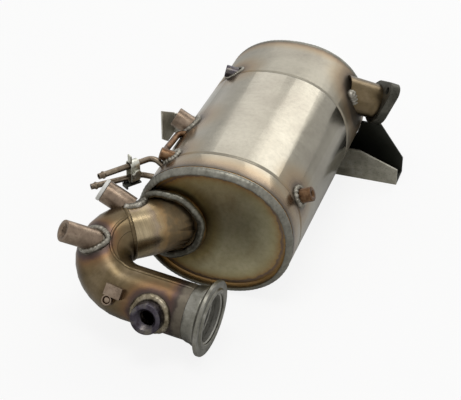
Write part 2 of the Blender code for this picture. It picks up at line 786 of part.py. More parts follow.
def build_link_tube():
    """Tube laid along the can, from the pressure boss to the can's wall by the sensor boss."""
    foot, axis = can_foot(PRESSURE_BOSS_PLACE)
    start = foot + axis * PRESSURE_BOSS.height * 0.62
    corners = [start, LINK_TUBE_CORNER, LINK_TUBE_RISE, LINK_TUBE_FOOT]
    points = bent_route(corners, [0.009, 0.010], radians(16))
    bm = pipe_body(points, lambda s: LINK_TUBE_RADIUS, TUBE_WALL, TUBE_FACETS)
    tube = finish_object("link_tube", bm, BRONZED)
    cut_away(tube, can_envelope(-GAP))
    boss_radius = PRESSURE_BOSS.radius + GAP
    cut_away(tube, bore_cutter(foot, axis, boss_radius, 0.01, PRESSURE_BOSS.height * 2))
    return tube


def clamp_frame():
    """Origin between the tubes, the tubes' direction, the side direction and upward."""
    upper = UPPER_TUBE_TIP.lerp(UPPER_TUBE_CORNER, CLAMP_SHARE)
    forward = (UPPER_TUBE_CORNER - UPPER_TUBE_TIP).normalized()
    run = LOWER_TUBE_CORNER - LOWER_TUBE_TIP
    along = (upper - LOWER_TUBE_TIP).dot(forward) / run.dot(forward)
    lower = LOWER_TUBE_TIP + run * along
    upward = Vector((0.0, 0.0, 1.0))
    side = forward.cross(upward)
    return upper, lower, forward, side, upward


def build_clamp():
    """Strap that rounds both tubes, with a standing tab, a bolt and a backing plate."""
    upper, lower, forward, side, upward = clamp_frame()
    inner = TUBE_RADIUS + TUBE_BEAD * 0.4 + GAP
    outline = []
    for centre, start in ((upper, 0.0), (lower, pi)):
        for i in range(9):
            turn = start + pi * i / 8
            outline.append((centre, cos(turn), sin(turn)))
    rings = []
    for radius, shift in ((inner + CLAMP_SHEET, -0.5), (inner + CLAMP_SHEET, 0.5), (inner, 0.5),
                          (inner, -0.5)):
        ring = []
        for centre, across, rise in outline:
            spot = centre + (side * across + upward * rise) * radius
            ring.append(spot + forward * CLAMP_WIDTH * shift)
        rings.append(ring)
    strap = finish_object("tube_clamp", loft(rings, closed=True), ZINC)
    top = upper + upward * (inner + CLAMP_SHEET * 0.5)
    frame = Matrix((forward, side, upward)).transposed()
    tab = box_between((-CLAMP_WIDTH / 2, -CLAMP_SHEET, -0.0004),
                      (-CLAMP_WIDTH / 2 + CLAMP_SHEET * 1.3, CLAMP_WIDTH * 0.45,
                       CLAMP_TAB_HEIGHT), frame, top)
    join(strap, finish_object("tab", tab, ZINC))
    middle = (upper + lower) / 2 + side * (inner + CLAMP_SHEET)
    bolt = [
        (CLAMP_BOLT_HEAD, GAP),
        (CLAMP_BOLT_HEAD, GAP + 0.0030),
        (CLAMP_BOLT_HEAD - 0.0008, GAP + 0.0036),
    ]
    finish_object("clamp_bolt", turned_solid(bolt, middle, side, 6), ZINC)
    under = lower - upward * (inner + CLAMP_SHEET + GAP)
    low = (-BACKING_LENGTH * 0.62, -0.0045, -BACKING_SHEET)
    plate = box_between(low, (BACKING_LENGTH * 0.38, 0.0045, 0.0), frame, under)
    body = finish_object("clamp_backing_plate", plate, STEEL)
    hook = box_between((low[0], -0.0045, -BACKING_SHEET - 0.0025),
                       (low[0] + BACKING_SHEET, 0.0045, -BACKING_SHEET * 0.5), frame, under)
    join(body, finish_object("hook", hook, STEEL))


def build_hose_clip():
    """Angle strap that stands on the elbow's front, and the domed pin beneath it."""
    centre, forward = inlet_point(CLIP_SHARE)
    outward = (CLIP_OUTWARD - forward * CLIP_OUTWARD.dot(forward)).normalized()
    upward = outward.cross(forward)
    if upward.z < 0:
        upward = -upward
    half = CLIP_LENGTH / 2
    sheet = CLIP_SHEET
    top = CLIP_PIN_RADIUS + GAP
    outline = [(-half, top), (half - sheet, top), (half - sheet, top + sheet - CLIP_LEG),
               (half, top + sheet - CLIP_LEG), (half, top + sheet), (-half, top + sheet)]
    rings = []
    for reach in (PIPE_RADIUS * 0.6, PIPE_RADIUS + CLIP_RISE):
        rings.append([centre + outward * reach + forward * x + upward * z for x, z in outline])
    strap = finish_object("elbow_clip", loft(rings), BRONZED)
    cut_away(strap, inlet_envelope(GAP))
    foot = centre + outward * PIPE_RADIUS - forward * (half - CLIP_PIN_RADIUS * 1.4)
    profile = [
        (CLIP_PIN_RADIUS, -CLIP_PIN_HEIGHT),
        (CLIP_PIN_RADIUS, CLIP_PIN_HEIGHT * 0.72),
        (CLIP_PIN_RADIUS * 0.7, CLIP_PIN_HEIGHT * 0.94),
        (CLIP_PIN_RADIUS * 0.25, CLIP_PIN_HEIGHT),
    ]
    pin = finish_object("elbow_clip_pin", turned_solid(profile, foot, outward, 18), BRONZED)
    cut_away(pin, inlet_envelope(GAP))


def outlet_frame():
    """Columns: the plate's upward direction, its long direction and its outward normal."""
    normal = OUTLET_NORMAL.normalized()
    upward = (OUTLET_UPWARD - normal * OUTLET_UPWARD.dot(normal)).normalized()
    return Matrix((upward, normal.cross(upward), normal)).transposed()


def flange_outline(inset=0.0):
    """Two-bolt outline, pulled tight round the pipe's collar and both ears."""
    circles = [(Vector((0.0, 0.0)), OUTLET_COLLAR_RADIUS - inset)]
    for side in (-1, 1):
        ear = Vector((OUTLET_EAR_RISE, OUTLET_EAR_SPREAD * side))
        circles.append((ear, OUTLET_EAR_RADIUS - inset))
    outline = []
    for i in range(OUTLET_OUTLINE_STEPS):
        turn = 2 * pi * (i + 0.5) / OUTLET_OUTLINE_STEPS
        outward = Vector((cos(turn), sin(turn)))
        centre, radius = max(circles, key=lambda item: item[0].dot(outward) + item[1])
        outline.append(centre + outward * radius)
    return outline


def build_outlet():
    """Short outlet pipe, cut to the can's side, in the bore of a thick two-bolt flange."""
    frame = outlet_frame()
    normal = frame.col[2]
    points = [OUTLET_CENTRE - normal * OUTLET_PIPE_INSET,
              OUTLET_CENTRE + normal * (OUTLET_FLANGE_THICKNESS - 0.001)]
    bm = pipe_body(points, lambda s: OUTLET_PIPE_RADIUS, OUTLET_PIPE_WALL, PIPE_FACETS)
    pipe = finish_object("outlet_pipe", bm, BRONZED)
    cut_away(pipe, can_envelope(-GAP))
    rings = []
    edge = OUTLET_FLANGE_CHAMFER
    thickness = OUTLET_FLANGE_THICKNESS
    for height, inset in ((0.0, edge), (edge, 0.0), (thickness - edge, 0.0), (thickness, edge)):
        rings.append([OUTLET_CENTRE + frame @ Vector((x, y, height))
                      for x, y in flange_outline(inset)])
    flange = finish_object("outlet_flange", loft(rings), MACHINED)
    thick = OUTLET_FLANGE_THICKNESS + 0.004
    cut_away(flange, bore_cutter(OUTLET_CENTRE, normal, OUTLET_PIPE_RADIUS + GAP, 0.004, thick))
    for side in (-1, 1):
        ear = Vector((OUTLET_EAR_RISE, OUTLET_EAR_SPREAD * side, 0.0))
        spot = OUTLET_CENTRE + frame @ ear
        cut_away(flange, bore_cutter(spot, normal, OUTLET_BOLT_RADIUS, 0.004, thick))
    return pipe, flange


def build_side_bracket():
    """Folded channel: a floor on the ground and two standing flanges, open at the top."""
    floor = -CAN_HALF_HEIGHT
    inner = 0.040
    sheet = BRACKET_SHEET
    reach = BRACKET_REACH
    front = BRACKET_FRONT_Y
    rear = BRACKET_FRONT_Y + BRACKET_DEPTH

    def flange(y, height, shoulder):
        outline = [(inner, 0.0), (reach, 0.0), (reach, BRACKET_LIP_HEIGHT),
                   (shoulder, height), (inner, height)]
        rings = [[Vector((x, y + step, floor + z)) for x, z in outline]
                 for step in (0.0, sheet)]
        return finish_object("side_bracket", loft(rings), STEEL)

    body = flange(front, BRACKET_FRONT_HEIGHT, BRACKET_FRONT_SHOULDER)
    join(body, flange(rear - sheet, BRACKET_REAR_HEIGHT, BRACKET_REAR_SHOULDER))
    plate = box_between((inner, front, floor), (reach, rear, floor + sheet))
    join(body, finish_object("floor", plate, STEEL))
    cut_away(body, can_envelope(-GAP))
    body.name = "side_bracket"
    return body


def build_tab_bracket():
    """Bent sheet that stands off the can's left side."""
    outline = [(TAB_FRONT_Y, TAB_BOTTOM_Z + 0.010), (TAB_FRONT_Y + TAB_LENGTH * 0.4, TAB_BOTTOM_Z),
               (TAB_FRONT_Y + TAB_LENGTH, TAB_BOTTOM_Z), (TAB_FRONT_Y + TAB_LENGTH, TAB_TOP_Z - 0.02),
               (TAB_FRONT_Y, TAB_TOP_Z)]
    face = -(CAN_HALF_WIDTH + TAB_REACH)
    rings = [[Vector((x, y, z)) for y, z in outline] for x in (face, face + TAB_SHEET)]
    body = finish_object("left_tab_bracket", loft(rings), STEEL)
    web = box_between((face + TAB_SHEET / 2, TAB_FRONT_Y + TAB_LENGTH - TAB_SHEET, TAB_BOTTOM_Z),
                      (-0.060, TAB_FRONT_Y + TAB_LENGTH, TAB_TOP_Z - 0.02))
    join(body, finish_object("web", web, STEEL))
    cut_away(body, can_envelope(-GAP))
    body.name = "left_tab_bracket"
    return body


def seat_on_origin():
    """Moves the whole assembly so that its box's bottom centre is the world origin."""
    bpy.context.view_layer.update()
    parts = [thing for thing in bpy.data.objects if thing.type == "MESH"]
    corners = [thing.matrix_world @ vertex.co for thing in parts for vertex in thing.data.vertices]
    low = [min(corner[axis] for corner in corners) for axis in range(3)]
    high = [max(corner[axis] for corner in corners) for axis in range(3)]
    root = bpy.data.objects.new("dpf_assembly", None)
    bpy.context.collection.objects.link(root)
    for thing in parts:
        thing.parent = root
    root.location = (-(low[0] + high[0]) / 2, -(low[1] + high[1]) / 2, -low[2])


clear_scene()
STAINLESS = make_material("stainless_sheet", (0.52, 0.48, 0.41), 0.38, 1.0)
BRONZED = make_material("heat_tinted_steel", (0.36, 0.27, 0.20), 0.42, 1.0)
MACHINED = make_material("machined_steel", (0.38, 0.37, 0.35), 0.35, 1.0)
STEEL = make_material("raw_steel", (0.13, 0.13, 0.12), 0.55, 1.0)
ZINC = make_material("zinc_plate", (0.55, 0.56, 0.54), 0.35, 1.0)
PLASTIC = make_material("pale_plastic", (0.80, 0.82, 0.80), 0.5, 0.0)
CERAMIC = make_material("silicon_carbide", (0.10, 0.10, 0.11), 0.8, 0.0)
MAT = make_material("fibre_mat", (0.60, 0.55, 0.45), 0.9, 0.0)

build_can()
build_inlet_plate()
build_end_plate("outlet_end_plate", -1)
build_filter()
build_stub()
build_elbow()
build_vband()
build_inlet_bosses()
build_can_bosses()
build_tube("upper_pressure_tube", UPPER_TUBE_TIP, UPPER_TUBE_CORNER, UPPER_TUBE_FOOT, 0.0065)
build_tube("lower_pressure_tube", LOWER_TUBE_TIP, LOWER_TUBE_CORNER, LOWER_TUBE_FOOT, 0.0045)
build_link_tube()
build_clamp()
build_hose_clip()
build_outlet()
build_side_bracket()
build_tab_bracket()
seat_on_origin()
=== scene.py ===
# Diesel particulate filter: welds, tubes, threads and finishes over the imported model.
import math

import bpy
from mathutils import Matrix, Vector
from mathutils.bvhtree import BVHTree


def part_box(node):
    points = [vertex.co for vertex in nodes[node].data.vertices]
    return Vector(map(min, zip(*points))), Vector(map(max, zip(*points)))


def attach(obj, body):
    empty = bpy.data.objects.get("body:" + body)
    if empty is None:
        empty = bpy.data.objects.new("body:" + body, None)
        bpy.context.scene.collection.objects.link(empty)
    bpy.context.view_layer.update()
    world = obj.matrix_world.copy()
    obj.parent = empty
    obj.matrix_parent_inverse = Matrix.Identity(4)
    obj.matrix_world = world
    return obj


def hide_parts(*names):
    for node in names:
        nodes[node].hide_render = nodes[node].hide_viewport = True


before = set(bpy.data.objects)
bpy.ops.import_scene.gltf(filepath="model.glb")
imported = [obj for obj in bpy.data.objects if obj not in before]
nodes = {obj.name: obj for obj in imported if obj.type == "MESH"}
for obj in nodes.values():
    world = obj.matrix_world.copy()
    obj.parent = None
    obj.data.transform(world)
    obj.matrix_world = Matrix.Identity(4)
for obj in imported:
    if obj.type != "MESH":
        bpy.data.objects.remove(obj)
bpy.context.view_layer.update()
sheetTrees = {}
mergeGap = 0.000005  # metres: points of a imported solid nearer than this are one
bevelAngle = math.radians(40)  # sharper edges than this are rounded

# The can's middle gives the place of everything else: points below are millimetres from
# the middle of its inlet end, x to the right, y along the can, z up.
canLow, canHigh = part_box("can_shell")
canMiddle = (canLow + canHigh) / 2
canSize = {"length": 280.0, "halfWidth": 80.0, "halfHeight": 70.2, "squareness": 2.23}
inletEnd = canMiddle - Vector((0.0, canSize["length"] / 2000, 0.0))


def at(x, y, z):
    return inletEnd + Vector((x, y, z)) / 1000


def deselectAll():
    if bpy.context.object and bpy.context.object.mode != "OBJECT":
        bpy.ops.object.mode_set(mode="OBJECT")
    bpy.ops.object.select_all(action="DESELECT")


def makeActive(piece):
    deselectAll()
    piece.select_set(True)
    bpy.context.view_layer.objects.active = piece


def applyAll(piece):
    makeActive(piece)
    for modifier in list(piece.modifiers):
        bpy.ops.object.modifier_apply(modifier=modifier.name)


def settle(piece):
    # puts the place, turn and size into the mesh
    makeActive(piece)
    bpy.ops.object.transform_apply(location=True, rotation=True, scale=True)


def finishPiece(piece, name, finish, smooth, instead=()):
    piece.name = name
    piece.data.name = name
    makeActive(piece)
    bpy.ops.object.shade_smooth_by_angle(angle=math.radians(smooth))
    piece.data.materials.clear()
    piece.data.materials.append(finish)
    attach(piece, "root")
    if instead:
        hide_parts(*instead)
    return piece


def smoothCopy(nodeName, finish, smooth, bevel=0.0, loops=()):
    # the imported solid's own shape, with its loose triangles merged and shaded smooth
    source = nodes[nodeName]
    piece = bpy.data.objects.new(nodeName + "_skin", source.data.copy())
    bpy.context.scene.collection.objects.link(piece)
    makeActive(piece)
    bpy.ops.object.mode_set(mode="EDIT")
    bpy.ops.mesh.select_all(action="SELECT")
    bpy.ops.mesh.remove_doubles(threshold=mergeGap)
    bpy.ops.mesh.customdata_custom_splitnormals_clear()
    for station in loops:
        # rings beside the swages keep the long walls straight where light runs over them
        bpy.ops.mesh.select_all(action="SELECT")
        bpy.ops.mesh.bisect(plane_co=at(0.0, station, 0.0), plane_no=(0.0, 1.0, 0.0))
    bpy.ops.object.mode_set(mode="OBJECT")
    if bevel:
        edge = piece.modifiers.new("edge", "BEVEL")
        edge.width = bevel
        edge.segments = 2
        edge.limit_method = "ANGLE"
        edge.angle_limit = bevelAngle
        edge.use_clamp_overlap = True
        applyAll(piece)
    return finishPiece(piece, nodeName + "_skin", finish, smooth, (nodeName,))


def meshPiece(name, vertices, faces):
    # an object made of points and faces, with its faces turned outward
    mesh = bpy.data.meshes.new(name)
    mesh.from_pydata(vertices, [], faces)
    piece = bpy.data.objects.new(name, mesh)
    bpy.context.scene.collection.objects.link(piece)
    makeActive(piece)
    bpy.ops.object.mode_set(mode="EDIT")
    bpy.ops.mesh.select_all(action="SELECT")
    bpy.ops.mesh.normals_make_consistent(inside=False)
    bpy.ops.object.mode_set(mode="OBJECT")
    return piece


# a bead's points round, the middle height of its scales, and how an open end thins out
beadForm = {"sides": 12, "scaleMiddle": 0.6, "thinEnd": 0.35, "thinStep": 0.2}


def beadAlong(name, path, outward, bead, finish, slotName, closed=True):
    # a weld bead of half-round section, with a low scale for each time the torch stopped
    count = len(path)
    sides = beadForm["sides"]
    vertices = []
    run = 0.0
    for i, (point, up) in enumerate(zip(path, outward)):
        before = path[i - 1] if closed or i else path[0]
        after = path[(i + 1) % count] if closed or i < count - 1 else path[-1]
        ahead = (after - before).normalized()
        up = (up - ahead * up.dot(ahead)).normalized()
        side = ahead.cross(up)
        run += (point - path[max(i - 1, 0)]).length
        phase = run / bead["pitch"]
        swell = bead["depth"] * (math.sin(math.pi * (phase % 1.0)) - beadForm["scaleMiddle"])
        sway = bead.get("sway", 0.0) * math.sin(phase * 1.3) * math.cos(phase * 0.37)
        thin = beadForm["thinEnd"] + min(i, count - 1 - i) * beadForm["thinStep"]
        ending = 1.0 if closed else min(1.0, thin)
        for k in range(sides):
            turn = 2 * math.pi * k / sides
            across = math.cos(turn) * bead["width"] / 2 * ending * (1 + swell * 0.5) + sway
            rise = math.sin(turn) * bead["height"] * ending * (1 + swell)
            vertices.append(point + side * across + up * rise)
    faces = []
    for i in range(count if closed else count - 1):
        for k in range(sides):
            near, far = i * sides, (i + 1) % count * sides
            last = (k + 1) % sides
            faces.append((near + k, near + last, far + last, far + k))
    if not closed:
        faces.append(tuple(range(sides))[::-1])
        faces.append(tuple(range((count - 1) * sides, count * sides)))
    return finishPiece(meshPiece(name, vertices, faces), name, finish, 50)


def onSheet(start, direction, targets, fallback):
    # where a line meets the nearest of the sheets named
    best = None
    for target in targets:
        mesh = nodes[target].data
        if target not in sheetTrees:
            sheetTrees[target] = BVHTree.FromPolygons([v.co for v in mesh.vertices],
                                                      [list(p.vertices) for p in mesh.polygons])
        place, normal, _, distance = sheetTrees[target].ray_cast(start, direction)
        if place and (best is None or distance < best[2]):
            best = (place, normal, distance)
    return best[:2] if best else (fallback, -direction)


# a ring's lines start so far over a boss's foot and drop no deeper than so far below it, in
# metres; its bead leans by these shares of the sheet's normal, the ring's arm and the axis
ringDrop = {"start": 0.020, "deepest": 0.016, "steps": 150,
            "sheet": 0.6, "arm": 0.2, "axis": 0.5}


def weldRing(name, foot, axis, radius, targets, bead, finish, slotName):
    # a circle round the boss, dropped along the boss's axis onto the sheet, then made a bead
    axis = axis.normalized()
    side = axis.orthogonal().normalized()
    over = axis.cross(side)
    steps = ringDrop["steps"]
    path = []
    outward = []
    for i in range(steps):
        turn = 2 * math.pi * i / steps
        arm = side * math.cos(turn) + over * math.sin(turn)
        level = foot + arm * radius
        place, normal = onSheet(level + axis * ringDrop["start"], -axis, targets, level)
        if (place - foot).dot(axis) < -ringDrop["deepest"]:
            place = level - axis * ringDrop["deepest"]
        path.append(place)
        outward.append(normal * ringDrop["sheet"] + arm * ringDrop["arm"]
                       + axis * ringDrop["axis"])
    smoothed = []
    for i in range(steps):
        smoothed.append((path[i - 1] + path[i] * 2 + path[(i + 1) % steps]) / 4)
    return beadAlong(name, smoothed, outward, bead, finish, slotName)


def turnedPiece(name, foot, axis, profile, finish, instead=(), facets=64, closed=False):
    # a lathe piece: (radius, height) pairs along its axis from the foot
    axis = axis.normalized()
    side = axis.orthogonal().normalized()
    over = axis.cross(side)
    vertices = []
    for radius, height in profile:
        for i in range(facets):
            turn = 2 * math.pi * i / facets
            arm = side * math.cos(turn) + over * math.sin(turn)
            vertices.append(foot + axis * height + arm * radius)
    faces = []
    rows = len(profile)
    for row in range(rows if closed else rows - 1):
        near, far = row * facets, (row + 1) % rows * facets
        for i in range(facets):
            j = (i + 1) % facets
            faces.append((near + i, near + j, far + j, far + i))
    if not closed:
        faces.append(tuple(range(facets))[::-1])
        faces.append(tuple(range((rows - 1) * facets, rows * facets)))
    return finishPiece(meshPiece(name, vertices, faces), name, finish, 35, instead)


def threadedBoss(name, boss, finish, instead):
    # a turned boss whose bore is cut as a thread, with a chamfered mouth and a broken outer edge
    outer, bore, height, pitch = boss["radius"], boss["bore"], boss["height"], boss["pitch"]
    sunk = -boss["sunk"]
    edge = boss.get("edge", 0.0007)
    groove = bore - pitch * 0.55
    runOut = bore - pitch * 0.3
    profile = [(outer, sunk), (outer, height - edge), (outer - edge * 0.3, height - edge * 0.3),
               (outer - edge, height), (bore + pitch, height), (bore, height - pitch)]
    deep = height - pitch
    bottom = height - boss["depth"]
    while deep - pitch > bottom:
        profile.append((groove, deep - pitch * 0.5))
        profile.append((bore, deep - pitch))
        deep -= pitch
    profile += [(runOut, bottom), (runOut, sunk)]
    return turnedPiece(name, boss["foot"], boss["axis"], profile, finish, instead,
                       closed=True)


def roundedRoute(corners, bends):
    # a bent tube's middle line: straight runs and round bends
    steps = 10
    points = [corners[0]]
    for before, corner, after, radius in zip(corners, corners[1:], corners[2:], bends):
        back = (before - corner).normalized()
        ahead = (after - corner).normalized()
        half = back.angle(ahead) / 2
        reach = radius / math.tan(half)
        middle = corner + (back + ahead).normalized() * radius / math.sin(half)
        first = corner + back * reach - middle
        last = corner + ahead * reach - middle
        sweep = first.angle(last)
        for i in range(steps + 1):
            share = i / steps
            arm = (first * math.sin((1 - share) * sweep) + last * math.sin(share * sweep))
            points.append(middle + arm / math.sin(sweep))
    points.append(corners[-1])
    return points


def denser(points, spacing):
    dense = [points[0]]
    for start, end in zip(points, points[1:]):
        count = max(1, round((end - start).length / spacing))
        for i in range(1, count + 1):
            dense.append(start.lerp(end, i / count))
    return dense


def bentTube(name, corners, form, finish, instead):
    # a hollow tube along a bent route, with a rounded bead near its open end
    flare = form["flare"]
    points = denser(roundedRoute(corners, form["bends"]), form["spacing"])
    mesh = bpy.data.meshes.new(name)
    mesh.from_pydata(points, [(i, i + 1) for i in range(len(points) - 1)], [])
    wire = bpy.data.objects.new(name, mesh)
    bpy.context.scene.collection.objects.link(wire)
    makeActive(wire)
    bpy.ops.object.convert(target="CURVE")
    curve = bpy.context.object
    curve.data.dimensions = "3D"
    spline = curve.data.splines[0]
    run = 0.0
    last = None
    for point in spline.points:
        here = Vector(point.co[:3])
        run += (here - last).length if last else 0.0
        last = here
        off = abs(run - flare["from"]) / flare["width"]
        point.radius = 1.0 + flare["height"] / form["radius"] * max(0.0, 1.0 - off * off)
    curve.data.bevel_depth = form["radius"]
    curve.data.bevel_resolution = 6
    bpy.ops.object.convert(target="MESH")
    tube = bpy.context.object
    thickness = tube.modifiers.new("wall", "SOLIDIFY")
    thickness.thickness = form["wall"]
    thickness.offset = -1
    applyAll(tube)
    settle(tube)
    return finishPiece(tube, name, finish, 50, instead)


def linear(hexText):
    channels = [int(hexText[i:i + 2], 16) / 255 for i in (1, 3, 5)]
    return tuple(c / 12.92 if c <= 0.04045 else ((c + 0.055) / 1.055) ** 2.4
                 for c in channels) + (1.0,)


def addNode(tree, kind, inputs=(), stops=(), **settings):
    # adds a node and gives the first output that it shows: its inputs go by name or in the
    # order shown, a socket among them is linked, and a colour ramp's stops are
    # (place, hex colour or grey level)
    node = tree.nodes.new("ShaderNode" + kind)
    for key, value in settings.items():
        setattr(node, key, value)
    shown = [socket for socket in node.inputs if socket.enabled]
    named = inputs.items() if isinstance(inputs, dict) else enumerate(inputs)
    for key, value in named:
        socket = shown[key] if isinstance(key, int) else node.inputs[key]
        if isinstance(value, bpy.types.NodeSocket):
            tree.links.new(value, socket)
        else:
            socket.default_value = value
    for i, (place, colour) in enumerate(stops):
        marks = node.color_ramp.elements
        mark = marks[i] if i < len(marks) else marks.new(place)
        mark.position = place
        mark.color = linear(colour) if isinstance(colour, str) else (colour,) * 3 + (1.0,)
    return next((socket for socket in node.outputs if socket.enabled), None)


def emptyTree(owner):
    # the nodes of a material or the world, with none in them yet
    owner.use_nodes = True
    owner.node_tree.nodes.clear()
    return owner.node_tree


def millimetres(tree):
    # object coordinates in millimetres
    place = addNode(tree, "TexCoord").node.outputs["Object"]
    return addNode(tree, "VectorMath", (place, 1000.0), operation="SCALE")


def beyond(tree, coords, y):
    # 1 past so many millimetres from the inlet end, and 0 before
    along = addNode(tree, "SeparateXYZ", (coords,)).node.outputs["Y"]
    return addNode(tree, "Math", (along, inletEnd.y * 1000 + y), operation="GREATER_THAN")


def weldDistance(tree, coords, welds):
    # millimetres to the nearest weld: a ball round a boss, an end of the can, or its oval rim
    nearest = None
    for weld in welds:
        if weld["kind"] == "ball":
            middle = at(*weld["middle"]) * 1000
            far = addNode(tree, "VectorMath", (coords, middle), operation="DISTANCE")
            far = addNode(tree, "Math", (far, weld["radius"]), operation="SUBTRACT")
        elif weld["kind"] == "station":
            far = addNode(tree, "SeparateXYZ", (coords,)).node.outputs["Y"]
            station = inletEnd.y * 1000 + weld["y"]
            far = addNode(tree, "Math", (far, station), operation="SUBTRACT")
            far = addNode(tree, "Math", (far,), operation="ABSOLUTE")
            far = addNode(tree, "Math", (far, weld["stretch"]), operation="MULTIPLY")
        else:
            far = ovalInset(tree, coords)
            far = addNode(tree, "Math", (far, weld["inset"]), operation="SUBTRACT")
            far = addNode(tree, "Math", (far,), operation="ABSOLUTE")
        far = addNode(tree, "Math", (far, 0.0), operation="MAXIMUM")
        if nearest is not None:
            far = addNode(tree, "Math", (nearest, far), operation="MINIMUM")
        nearest = far
    return nearest


def ovalInset(tree, coords):
    # millimetres inside the can's oval outline
    power = canSize["squareness"]
    split = addNode(tree, "SeparateXYZ", (coords,)).node
    terms = []
    for axis, middle, half in (("X", inletEnd.x, canSize["halfWidth"]),
                               ("Z", inletEnd.z, canSize["halfHeight"])):
        term = addNode(tree, "Math", (split.outputs[axis], middle * 1000), operation="SUBTRACT")
        term = addNode(tree, "Math", (term,), operation="ABSOLUTE")
        term = addNode(tree, "Math", (term, half), operation="DIVIDE")
        terms.append(addNode(tree, "Math", (term, power), operation="POWER"))
    share = addNode(tree, "Math", terms, operation="ADD")
    share = addNode(tree, "Math", (share, 1.0 / power), operation="POWER")
    share = addNode(tree, "Math", (1.0, share), operation="SUBTRACT")
    meanHalf = (canSize["halfWidth"] + canSize["halfHeight"]) / 2
    return addNode(tree, "Math", (share, meanHalf), operation="MULTIPLY")


def drawnLines(tree, coords, look):
    # lines across the drawn direction, from the polishing belt, coarser than the real ones so
    # that they show: the coordinates are nearly flat, so the pattern hardly changes along a line
    nearlyFlat = 0.03
    along = addNode(tree, "VectorMath", (coords, Vector(look["drawn"]).normalized()),
                    operation="DOT_PRODUCT")
    along = addNode(tree, "Math", (along, 1.0 / look["drawnMm"]), operation="MULTIPLY")
    along = addNode(tree, "CombineXYZ", (along,))
    flat = addNode(tree, "VectorMath", (coords, nearlyFlat), operation="SCALE")
    lines = addNode(tree, "VectorMath", (flat, along), operation="ADD")
    lines = addNode(tree, "TexNoise", {"Vector": lines, "Scale": 1.0, "Detail": 3.0,
                                       "Roughness": 0.6})
    return addNode(tree, "ValToRGB", (lines,), [(0.36, look["drawnDark"]), (0.60, 1.0)])


# what the four tinted sheets share: sizes in millimetres of the smudges, the uneven sheen,
# the wandering of a tint's edge and the grain; depths in metres; and the roughness by a weld
sheetForm = {"grimeMm": 5.0, "sheenMm": 9.0, "wanderMm": 7.0, "grainMm": 0.9,
             "grainDeep": 0.0003, "dentDeep": 0.003, "weldRough": 0.16, "weldFade": 4.0,
             "haloWander": 0.3}


